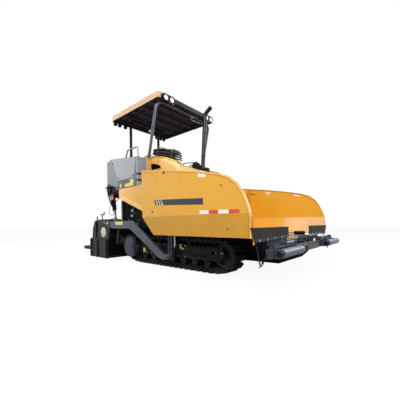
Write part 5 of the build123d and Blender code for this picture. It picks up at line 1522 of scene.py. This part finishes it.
@dataclass
class Canopy:
    """Roof liner, lamps, beacon, wiring and fittings of the posts."""

    low: float = 3755.0
    top: float = 3885.0
    rear: float = -2500.0
    front: float = -450.0
    half: float = 975.0

    def outline(self, inset: float, radius: float, steps: int = 6) -> list[tuple[float, float]]:
        """Roof's outline drawn in by an inset, with rounded corners."""
        rear, front, half = self.rear + inset, self.front - inset, self.half - inset
        return rounded(rect(rear, front, -half, half), radius, steps)

    def build(self) -> None:
        """Dress the canopy."""
        liner = Shape().prism(self.outline(22, 60, 5), Axis.Z, self.top - 24, self.top - 18)
        liner.piece("roof_liner", LINER)
        skirt = Shape()
        outer = self.outline(17, 56)
        inner = [(x * 0.985 - 21, y * 0.985) for x, y in outer]
        skirt.band(outer, inner, Axis.Z, self.low + 2, self.top - 24)
        skirt.piece("roof_skirt", LINER)
        trim = Shape()
        outer = self.outline(1, 68)
        inner = [(self.rear + 19 + (x - self.rear - 1) * 0.9815, y * 0.981) for x, y in outer]
        trim.band(outer, inner, Axis.Z, self.low - 3, self.low - 0.3)
        trim.box((self.front + 0.5, self.front + 28), (-900, 900), (self.low, self.low + 32))
        trim.piece("roof_trim", BLACK)
        ribs = Shape()
        for y in (-620, 0, 620):
            ribs.box((self.rear + 30, self.front - 30), (y - 12, y + 12), (self.top - 52, self.top - 22))
        for x in (self.rear + 520, self.rear + 890, self.rear + 1260, self.rear + 1630):
            ribs.box((x - 23, x + 23), (-self.half + 20, self.half - 20), (self.top - 88, self.top - 22))
        ribs.piece("roof_ribs", LINER, bevel=2)
        glass, rims = Shape(), Shape()
        face = self.front + 62
        pods = Shape().prism(rounded([(906, 3790), (880, 3858), (548, 3861), (524, 3800),
                                      (552, 3672), (622, 3660),
                                      (884, 3742)], 28), Axis.X, self.front + 0.5, face)
        pods.both().box((self.front + 0.5, self.front + 24), (-540, 540), (3778, 3861))
        for y in (870, 740, 560):
            for s in (-1, 1):
                pods.lathe((self.rear + 58, s * y, 3712), (-1, 0, 0), [(0, 34), (12, 50), (58, 52)], 24)
                pods.box((self.rear + 20, self.rear + 44), (s * y - 9, s * y + 9), (3755, 3800))
            glass.lathe((self.rear, y, 3712), (-1, 0, 0), [(0, 44), (3, 44), (5, 26)], 24)
        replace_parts(pods.piece("lamp_pods", LAMP_BODY, bevel=5), "roof_lamps")
        for y in (622, 802):
            glass.lathe((face - 4, y, 3770), (1, 0, 0), [(0, 56), (5, 56), (10, 44), (12, 20)], 28)
            rims.lathe((face - 4, y, 3770), (1, 0, 0), [(0, 66), (9, 66), (11, 60), (6, 56)], 28)
        glass.both().piece("lamp_lenses", LAMP_GLASS)
        rims.both().piece("lamp_rims", LAMP_BODY)
        beacon = Shape().lathe((-812, -936, 3040), (0, 0, 1),
                               [(0, 30), (8, 36), (46, 35), (64, 26), (70, 10)], 24)
        beacon.piece("beacon_dome", ORANGE_GLASS)
        arm = Shape().pipe([(-735, -936, 3010), (-812, -936, 3010), (-812, -936, 3040)], 11, 20)
        arm.lathe((-812, -936, 3028), (0, 0, 1), [(0, 38), (13, 38)], 24)
        arm.piece("beacon_stand", BLACK)
        wires = Shape()
        for y in (-300, 520):
            wires.pipe([(self.front - 60, y, self.top - 96), (-1000, y + 60, self.top - 110),
                        (-1700, y - 40, self.top - 98), (self.rear + 90, y, self.top - 100)], 8, 120, 8)
        wires.piece("roof_conduits", LINER)
        bolts = Studs(8, 7)
        for s in (-1, 1):
            for x in (-958, -808):
                bolts.add((0, 0, 1), (x, s * 922, 2514), (x, s * 974, 2514))
        bolts.piece("post_bolts", ZINC)
        handles = Shape()
        handles.pipe([(-560, 300, 3706), (-556, 178, 3706), (-556, 168, 3625), (-556, 610, 3640),
                      (-560, 640, 3706)], 9, 30, 10)
        handles.piece("bar_handle", ZINC)


@dataclass
class Screed:
    """Screed's plates, labels, handles and step gratings."""

    cheek_y: float = 1244.0

    def build(self) -> None:
        """Dress the screed and the tow arms."""
        y = self.cheek_y
        disc = Shape().lathe((-2530, y, 690), (0, 1, 0), [(0, 136), (8, 136), (12, 130), (12, 60), (9, 56)], 36)
        disc.both().piece("cheek_discs", CREAM, "screed")
        spots = [(-2530 + 100 * math.cos(a), y + 12, 690 + 100 * math.sin(a)) for a in (0.4, 1.97, 3.54, 5.1)]
        Studs(9, 6).add((0, 1, 0), *spots).both().piece("cheek_disc_bolts", ZINC, "screed")
        labels = Shape()
        labels.prism(rect(-2350, -2290, 905, 975), Axis.Y, y, y + PROUD)
        labels.prism(rect(-1900, -1560, 892, 974), Axis.Y, y, y + PROUD)
        labels.both().piece("screed_labels", PALE_YELLOW, "screed")
        red = Shape().prism(rect(-2510, -2450, 930, 985), Axis.Y, y, y + PROUD)
        red.both().piece("screed_red_labels", TAPE_RED, "screed")
        lids = Shape()
        for middle in (-900, -300, 300, 900):
            lids.prism(rounded(rect(-2800, -2330, middle - 250, middle + 250), 26), Axis.Z, 1040, 1050)
            lids.pipe([(-2600, middle - 60, 1050), (-2600, middle - 60, 1078), (-2600, middle + 60, 1078),
                       (-2600, middle + 60, 1050)], 7, 12, 8)
        lids.piece("screed_lids", SLATE, "screed", 2)
        bolts = Studs(12, 9)
        for x in (-2780, -2660, -2400, -2330):
            bolts.add((0, 1, 0), (x, y, 580))
        for z in (860, 930):
            bolts.add((0, 1, 0), (-2230, y, z), (-2410, y, z))
        bolts.both().piece("screed_bolts", ZINC, "screed")
        # Near-black sheet over the screed's front face: painted shade, where the face lies in shadow.
        dark = Shape().box((-2280, -2278.5), (-1228, 1228), (62, 538))
        dark.piece("screed_front_liner", BLACK_AND_SHADE, "screed")
        caps = Shape().lathe((120, y + 5, 230), (0, 1, 0),
                             [(0, 46), (10, 46), (14, 40), (14, 22), (24, 22)], 24)
        caps.both().piece("tow_pin_caps", SLATE, "screed")
        for side in Side:
            self.extension(side)

    def extension(self, side: Side) -> None:
        """Dress one extension and its step.

        Args:
            side: Side of the machine.
        """
        s, body = side.value, f"extension_{side.word}"
        rows = [(-3300, s * 637, 261)]
        bar_row(f"step_grating_{side.word}", rows, 12, (-41, 0, 0), (4, 1080, 8), ZINC, body)
        lids = Shape()
        for low, high in ((120, 600), (660, 1150)):
            lids.prism([(-3022, 1016), (-3040, 1005), (-3120, 836), (-3108, 828)], Axis.Y, *sided(s, low, high))
        lids.piece(f"extension_lids_{side.word}", SLATE, body, 1)
        # Near-black strips on the end plate: painted shade in its gaps.
        dark = Shape()
        dark.prism([(-3238, 300), (-3168, 320), (-3150, 524), (-3218, 524)], Axis.Y, *sided(s, 1274, 1276))
        dark.prism(rect(-3060, -3046, 40, 520), Axis.Y, *sided(s, 1274, 1276))
        dark.piece(f"end_plate_gaps_{side.word}", BLACK_AND_SHADE, body)
        pin = Shape().pipe([(-3000, s * 1187, 1000), (-3000, s * 1187, 1092), (-2950, s * 1187, 1122)],
                           15, 26, 12)
        for x, z in ((-3180, 250), (-3120, 160), (-3290, 214)):
            pin.box((x, x + 74), sided(s, 1274, 1292), (z, z + 44))
        pin.piece(f"extension_pins_{side.word}", SLATE, body, 3)
        handle = Shape()
        for y in (360, 900):
            handle.pipe([(-3095, s * (y - 60), 880), (-3125, s * (y - 60), 895), (-3125, s * (y + 60), 895),
                         (-3095, s * (y + 60), 880)], 7, 14, 8)
        handle.piece(f"extension_handles_{side.word}", ZINC, body)
        spots = [(x, s * 1274, z) for x in (-3180, -2460, -2660) for z in (60, 460)]
        Studs(10, 8).add((0, s, 0), *spots).piece(f"end_plate_bolts_{side.word}", ZINC, body)
        spots = [(-3240, s * y, z) for y in (90, 460, 830, 1200) for z in (60, 330)]
        Studs(9, 7).add((-1, 0, 0), *spots).piece(f"extension_bolts_{side.word}", ZINC, body)


@dataclass
class Seats:
    """Two operator's seats: stuffed cushions with piping, arm rests."""

    x: float = -1830.0
    y: float = 450.0
    pad: Outline = ((-212, 6), (214, 6), (222, 106), (-212, 84))
    back: Outline = ((-240, 110), (-272, 506), (-334, 506), (-306, 20), (-240, 20))
    pad_seam: Outline = ((-208, 10), (212, 10), (219, 104), (-208, 82))
    back_seam: Outline = ((-243, 24), (-243, 112), (-274, 502), (-331, 502), (-303, 24))

    def cushion(self, name: str, outline: Outline, low: float, high: float) -> bpy.types.Object:
        """One stuffed cushion, swollen by a cloth simulation.

        Args:
            name: Piece's name.
            outline: Side outline in X and Z.
            low: Its start along Y.
            high: Its end along Y.

        Returns:
            The cushion.
        """
        mesh = Shape().prism(rounded(outline, 34, 4), Axis.Y, low, high).plain_mesh(name)
        item = dressed(name, mesh, VINYL, 60)
        remesh = item.modifiers.new("skin", "REMESH")
        remesh.mode = "VOXEL"
        remesh.voxel_size = CUSHION_VOXEL
        smooth = item.modifiers.new("round", "SMOOTH")
        smooth.factor, smooth.iterations = 0.5, 6
        graph = bpy.context.evaluated_depsgraph_get()
        item.data = bpy.data.meshes.new_from_object(item.evaluated_get(graph))
        item.modifiers.clear()
        inflate(item, CUSHION_PRESSURE, CUSHION_SWELL)
        item.data.materials.clear()
        item.data.materials.append(VINYL.material())
        item.data.polygons.foreach_set("use_smooth", [True] * len(item.data.polygons))
        modifier = item.modifiers.new("smooth", "SUBSURF")
        modifier.levels = modifier.render_levels = 1
        return item

    def build(self) -> None:
        """Build both seats."""
        low = DECK_Z + 332
        x = self.x
        lines = (self.pad, self.back, self.pad_seam, self.back_seam)
        pad, back, pad_seam, back_seam = ([(x + px, low + pz) for px, pz in line] for line in lines)
        cushions, piping = [], Shape()
        for side in Side:
            s = side.value
            edges = sided(s, self.y - 214, self.y + 214)
            cushions += [self.cushion(f"seat_pad_{side.word}", pad, *edges),
                         self.cushion(f"seat_back_{side.word}", back, *edges)]
            for way in (-1, 1):
                edge = s * self.y + way * 209
                for seam in (pad_seam, back_seam):
                    line = rounded(seam, 38, 5)
                    piping.pipe([(px, edge, pz) for px, pz in line + line[:1]], 5, 4, 6)
        for item in cushions:
            riding(item, "chassis")
        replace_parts(cushions[0], "seat_cushions")
        piping.piece("seat_piping", PIPING)
        arms = Shape()
        for middle in (-self.y, self.y):
            for way in (-1, 1):
                edge = middle + way * 246
                arms.prism(rounded(rect(x - 230, x + 60, low + 190, low + 222), 14),
                           Axis.Y, edge - 22, edge + 22)
                arms.pipe([(x - 200, edge, low + 192), (x - 200, edge, low + 20),
                           (x - 120, middle + way * 200, low + 4)], 11, 20, 10)
        arms.piece("seat_arms", BLACK, bevel=3)


def inflate(item: bpy.types.Object, pressure: float, limit: float) -> None:
    """Swell a closed mesh with a short cloth simulation and keep the result.

    Args:
        item: Object with the mesh.
        pressure: Pressure inside the cloth.
        limit: Farthest that a point may move, in metres.
    """
    scene = bpy.context.scene
    cloth = item.modifiers.new("swell", "CLOTH")
    cloth.settings.use_pressure = True
    cloth.settings.uniform_pressure_force = pressure
    cloth.settings.effector_weights.gravity = 0.0
    cloth.settings.quality = 5
    cloth.point_cache.frame_start, cloth.point_cache.frame_end = 1, SWELL_FRAMES
    before = [v.co.copy() for v in item.data.vertices]
    for frame in range(1, SWELL_FRAMES + 1):
        scene.frame_set(frame)
    graph = bpy.context.evaluated_depsgraph_get()
    mesh = bpy.data.meshes.new_from_object(item.evaluated_get(graph))
    for vertex, old in zip(mesh.vertices, before):
        move = vertex.co - old
        if move.length > limit:
            vertex.co = old + move.normalized() * limit
    item.modifiers.clear()
    item.data = mesh
    scene.frame_set(1)


@dataclass
class Tarp:
    """Folded tarpaulin on the hood: one long sheet laid in folds and strapped."""

    y: float = -550.0
    half: float = 138.0
    rear: float = -1074.0
    front: float = -262.0
    folds: int = 7

    def top_line(self, x: float) -> float:
        """Height of the hood's top under the bundle."""
        return self.between(x, ((-1100.0, 2502.0), (-915.0, 2504.0), (-885.0, 2546.0), (-580.0, 2477.0),
                                (-390.0, 2424.0), (-200.0, 2347.0)))

    def bundle_line(self, x: float) -> float:
        """Height of the bundle's own top."""
        return self.between(x, ((-1090.0, 2800.0), (-1040.0, 2826.0), (-820.0, 2788.0), (-620.0, 2744.0),
                                (-420.0, 2655.0), (-262.0, 2560.0)))

    @staticmethod
    def between(x: float, line: Outline) -> float:
        """Height of a line of points at a place along it."""
        for (xa, za), (xb, zb) in zip(line, line[1:]):
            if x <= xb:
                return za + (zb - za) * (x - xa) / (xb - xa)
        return line[-1][1]

    def build(self) -> None:
        """Lay the folds, then the straps."""
        LOG.info("tarpaulin in %d folds", self.folds)
        rng = random.Random(11)
        columns, mesh = 40, bmesh.new()
        wobble = [[rng.uniform(-1, 1) for _ in range(columns + 1)] for _ in range(self.folds + 1)]
        grid = []
        for layer in range(self.folds):
            way = 1 if layer % 2 == 0 else -1
            share = layer / (self.folds - 1)
            tuck = 26 * max(0.0, share - 0.6) / 0.4 + rng.uniform(-7, 7)
            for step in range(12):
                turn = max(0.0, step - 5) / 6 * math.pi
                run = min(1.0, step / 5) * 2 - 1
                line = []
                for column in range(columns + 1):
                    u = column / columns
                    x = self.rear + (self.front - self.rear) * u
                    end = 1 - 0.5 * max(0.0, 0.06 - u) / 0.06 - 0.4 * max(0.0, u - 0.93) / 0.07
                    low, high = self.top_line(x) + 9, self.bundle_line(x) - 10
                    pitch = (high - low) / self.folds
                    swell = wobble[layer][column // 3] * 0.16 * pitch + 3 * math.sin(9 * u + 2.1 * layer)
                    edge = (self.half - 14 - tuck) * (0.55 + 0.45 * end)
                    y = self.y + way * (edge * run + math.sin(turn) * pitch * 0.72)
                    z = low + pitch * (layer + 0.5 - 0.5 * math.cos(turn)) + swell * share
                    z -= 0.3 * pitch * abs(run) ** 4 * (1 - math.sin(turn)) * (1 - share)
                    line.append(mesh.verts.new(placed((x, y, z))))
                grid.append(line)
        for a, b in zip(grid, grid[1:]):
            for i in range(columns):
                mesh.faces.new((a[i], a[i + 1], b[i + 1], b[i]))
        bmesh.ops.recalc_face_normals(mesh, faces=list(mesh.faces))
        data = bpy.data.meshes.new("tarp_folds")
        mesh.to_mesh(data)
        mesh.free()
        item = dressed("tarp_folds", data, TARP_CLOTH, 80)
        solid = item.modifiers.new("cloth_thickness", "SOLIDIFY")
        solid.thickness = 0.003
        solid.offset = 0.0
        smooth = item.modifiers.new("soft", "SUBSURF")
        smooth.levels = smooth.render_levels = 1
        riding(item, "chassis")
        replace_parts(item, "tarp_roll")
        straps = Shape()
        for x in (-880, -370):
            low, top = self.top_line(x), self.bundle_line(x)
            line = rounded([(self.y - self.half - 9, low - 2), (self.y + self.half + 9, low - 2),
                            (self.y + self.half + 4, (low + top) / 2), (self.y + self.half - 34, top + 8),
                            (self.y - self.half + 34, top + 8),
                            (self.y - self.half - 4, (low + top) / 2)], 30, 4)
            middle = (low + top) / 2
            inner = [(self.y + (py - self.y) * 0.975, middle + (pz - middle) * 0.975) for py, pz in line]
            straps.band(line, inner, Axis.X, x, x + 24)
        straps.piece("tarp_straps", STRAP_WEB)


@dataclass
class Chassis:
    """Back wall's ribs and bolts, ramp plates, belly plates in painted shade and lip members."""

    wall_x: float = 262.0

    def build(self) -> None:
        """Dress the tractor frame and the hopper's middle."""
        spots = [(self.wall_x, y, z) for y in (-1040, -760, -480, 480, 760, 1040) for z in (1640, 1080)]
        Studs(14, 10).add((1, 0, 0), *spots).piece("back_wall_bolts", YELLOW)
        rails = Shape()
        for y in (-820, -260, 260, 820):
            rails.box((self.wall_x, self.wall_x + 12), (y - 20, y + 20), (1060, 1700))
        rails.piece("back_wall_ribs", YELLOW, bevel=2)
        ramps = Shape()
        ramps.box((2060, 2288), (20, 552), (655, 660)).box((2282, 2289), (20, 552), (612, 656))
        ramps.piece("ramp_plate_left", SLATE)
        tan = Shape().box((2060, 2288), (-552, -20), (655, 660)).box((2282, 2289), (-552, -20), (612, 656))
        tan.piece("ramp_plate_right", TAN)
        # Near-black plates under the frame's front: painted shade of the underbody.
        belly = Shape().box((560, 2160), (-570, 570), (215, 351))
        belly.prism([(2160, 215), (2280, 330), (2280, 470), (2160, 470)], Axis.Y, -570, 570)
        belly.piece("belly_plates", BLACK_AND_SHADE)
        cross = Shape().box((2250, 2286), (574, 1190), (560, 640)).box((2230, 2250), (574, 1000), (500, 560))
        cross.both().piece("lip_members", SLATE, bevel=3)
        nose = Studs(12, 9)
        for y in (150, 420, 540):
            nose.add((1, 0, 0), (2290, y, 500), (2290, y, 580))
        nose.both().piece("nose_bolts", ZINC)


CAMERA_PLACE = (4.470, -4.469, 0.900)
CAMERA_TURN = (0.7081, -0.0163, -0.0104)    # yaw, pitch and roll in radians
CAMERA_LENS = 21.907
CAMERA_SHIFT = (-0.01363, 0.06893)
SKY_STRENGTH = 0.44     # light from all round, where it isn't seen
MIRRORED_SKY = 0.7      # how white the surroundings are in mirrors
FLOOR_HALF = 60.0
FLOOR_SHADES = (0.36, 0.95)     # for light that bounces, and for the camera
FLOOR_GLOW = 0.93       # share of the floor's own white that the camera sees
# Name, place, target, side in metres and power in watts of each square lamp.
LAMPS = (
    ("key_lamp", (6.5, -9.0, 8.5), (0.0, 0.0, 1.4), 7.0, 1040.0),
    ("sky_lamp", (-2.0, -1.5, 10.5), (0.0, 0.0, 1.0), 9.0, 600.0),
    ("far_lamp", (7.0, 7.5, 6.0), (0.5, 0.0, 1.5), 6.0, 450.0),
    ("rear_lamp", (-9.0, -3.0, 5.0), (-1.0, 0.0, 1.5), 6.0, 220.0),
)


class Stage:
    """Floor, lamps and camera."""

    def build(self) -> None:
        """Set the stage up."""
        self.camera()
        self.world()
        self.floor()
        for row in LAMPS:
            self.lamp(*row)

    def camera(self) -> None:
        """Place the camera."""
        data = bpy.data.cameras.new("camera")
        data.sensor_width = 36.0
        data.lens = CAMERA_LENS
        data.shift_x, data.shift_y = CAMERA_SHIFT
        camera = bpy.data.objects.new("camera", data)
        yaw, pitch, roll = CAMERA_TURN
        camera.rotation_euler = (Matrix.Rotation(yaw, 3, "Z") @ Matrix.Rotation(math.pi / 2 + pitch, 3, "X")
                                 @ Matrix.Rotation(roll, 3, "Z")).to_euler()
        camera.location = CAMERA_PLACE
        bpy.context.scene.collection.objects.link(camera)
        bpy.context.scene.camera = camera

    def lamp(self, name: str, place: Point, target: Point, size: float, power: float) -> None:
        """Add a square soft lamp that points at a target."""
        data = bpy.data.lights.new(name, "AREA")
        data.energy, data.size = power, size
        lamp = bpy.data.objects.new(name, data)
        lamp.location = place
        lamp.rotation_euler = (Vector(target) - Vector(place)).to_track_quat("-Z", "Y").to_euler()
        bpy.context.scene.collection.objects.link(lamp)

    def world(self) -> None:
        """Even pale light all round, white where it is seen or mirrored."""
        world = bpy.data.worlds.new("studio")
        bpy.context.scene.world = world
        world.use_nodes = True
        graph = Graph(world.node_tree)
        back = world.node_tree.nodes["Background"]
        path = graph.add("ShaderNodeLightPath")
        seen = graph.math("MAXIMUM", path.outputs["Is Camera Ray"], path.outputs["Is Transmission Ray"])
        bright = graph.math("MAXIMUM", seen,
                            graph.math("MULTIPLY", path.outputs["Is Glossy Ray"], MIRRORED_SKY))
        graph.put(back.inputs["Strength"], graph.span(bright, 0.0, 1.0, SKY_STRENGTH, 1.0))
        back.inputs["Color"].default_value = (1.0, 1.0, 1.0, 1.0)

    def floor(self) -> None:
        """Lay a wide pale floor that keeps the machine's shadow."""
        mesh = bpy.data.meshes.new("floor")
        far = FLOOR_HALF
        mesh.from_pydata([(-far, -far, 0), (far, -far, 0), (far, far, 0), (-far, far, 0)], [], [(0, 1, 2, 3)])
        item = bpy.data.objects.new("floor", mesh)
        bpy.context.scene.collection.objects.link(item)
        material = bpy.data.materials.new("pale_floor")
        material.use_nodes = True
        graph = Graph(material.node_tree)
        path = graph.add("ShaderNodeLightPath")
        shade = graph.span(path.outputs["Is Camera Ray"], 0.0, 1.0, *FLOOR_SHADES)
        graph.fill(graph.shader, {"Roughness": 0.9, "Base Color": shade})
        glow = graph.add("ShaderNodeEmission", {"Strength": 1.0})
        seen = graph.math("MULTIPLY", path.outputs["Is Camera Ray"], FLOOR_GLOW)
        blend = graph.add("ShaderNodeMixShader", {0: seen, 1: graph.shader.outputs[0], 2: glow.outputs[0]})
        out = material.node_tree.nodes["Material Output"]
        graph.put(out.inputs["Surface"], blend.outputs[0])
        mesh.materials.append(material)


def dress_frame(nodes: dict[str, bpy.types.Object]) -> None:
    """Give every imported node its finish.

    Args:
        nodes: The frame's objects by node name.
    """
    finishes = dict(CAD_FINISH)
    for stem, finish in PAIR_FINISH.items():
        for side in Side:
            finishes[f"{stem}_{side.word}"] = finish
    for name, item in nodes.items():
        finish = finishes[name]
        item.data.materials.clear()
        item.data.materials.append(finish.material())
        LOG.info("%s is finished in %s", name, finish.name)


def main() -> None:
    """Build the stage and every sub-assembly."""
    logging.basicConfig(level=logging.INFO, format="%(message)s")
    for item in list(bpy.data.objects):
        bpy.data.objects.remove(item)
    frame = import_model()
    bpy.context.scene.view_settings.view_transform = "Standard"
    Stage().build()
    dress_frame(frame["nodes"])
    tracks = Tracks()
    for side in Side:
        tracks.build(side)
    tracks.frame_details()
    wings = Wings()
    for side in Side:
        wings.build(side)
    PushBeam().build()
    Chassis().build()
    Hood().build(frame["nodes"]["hood"])
    Platform().build()
    Canopy().build()
    Screed().build()
    Seats().build()
    Tarp().build()


if __name__ == "__main__":
    main()
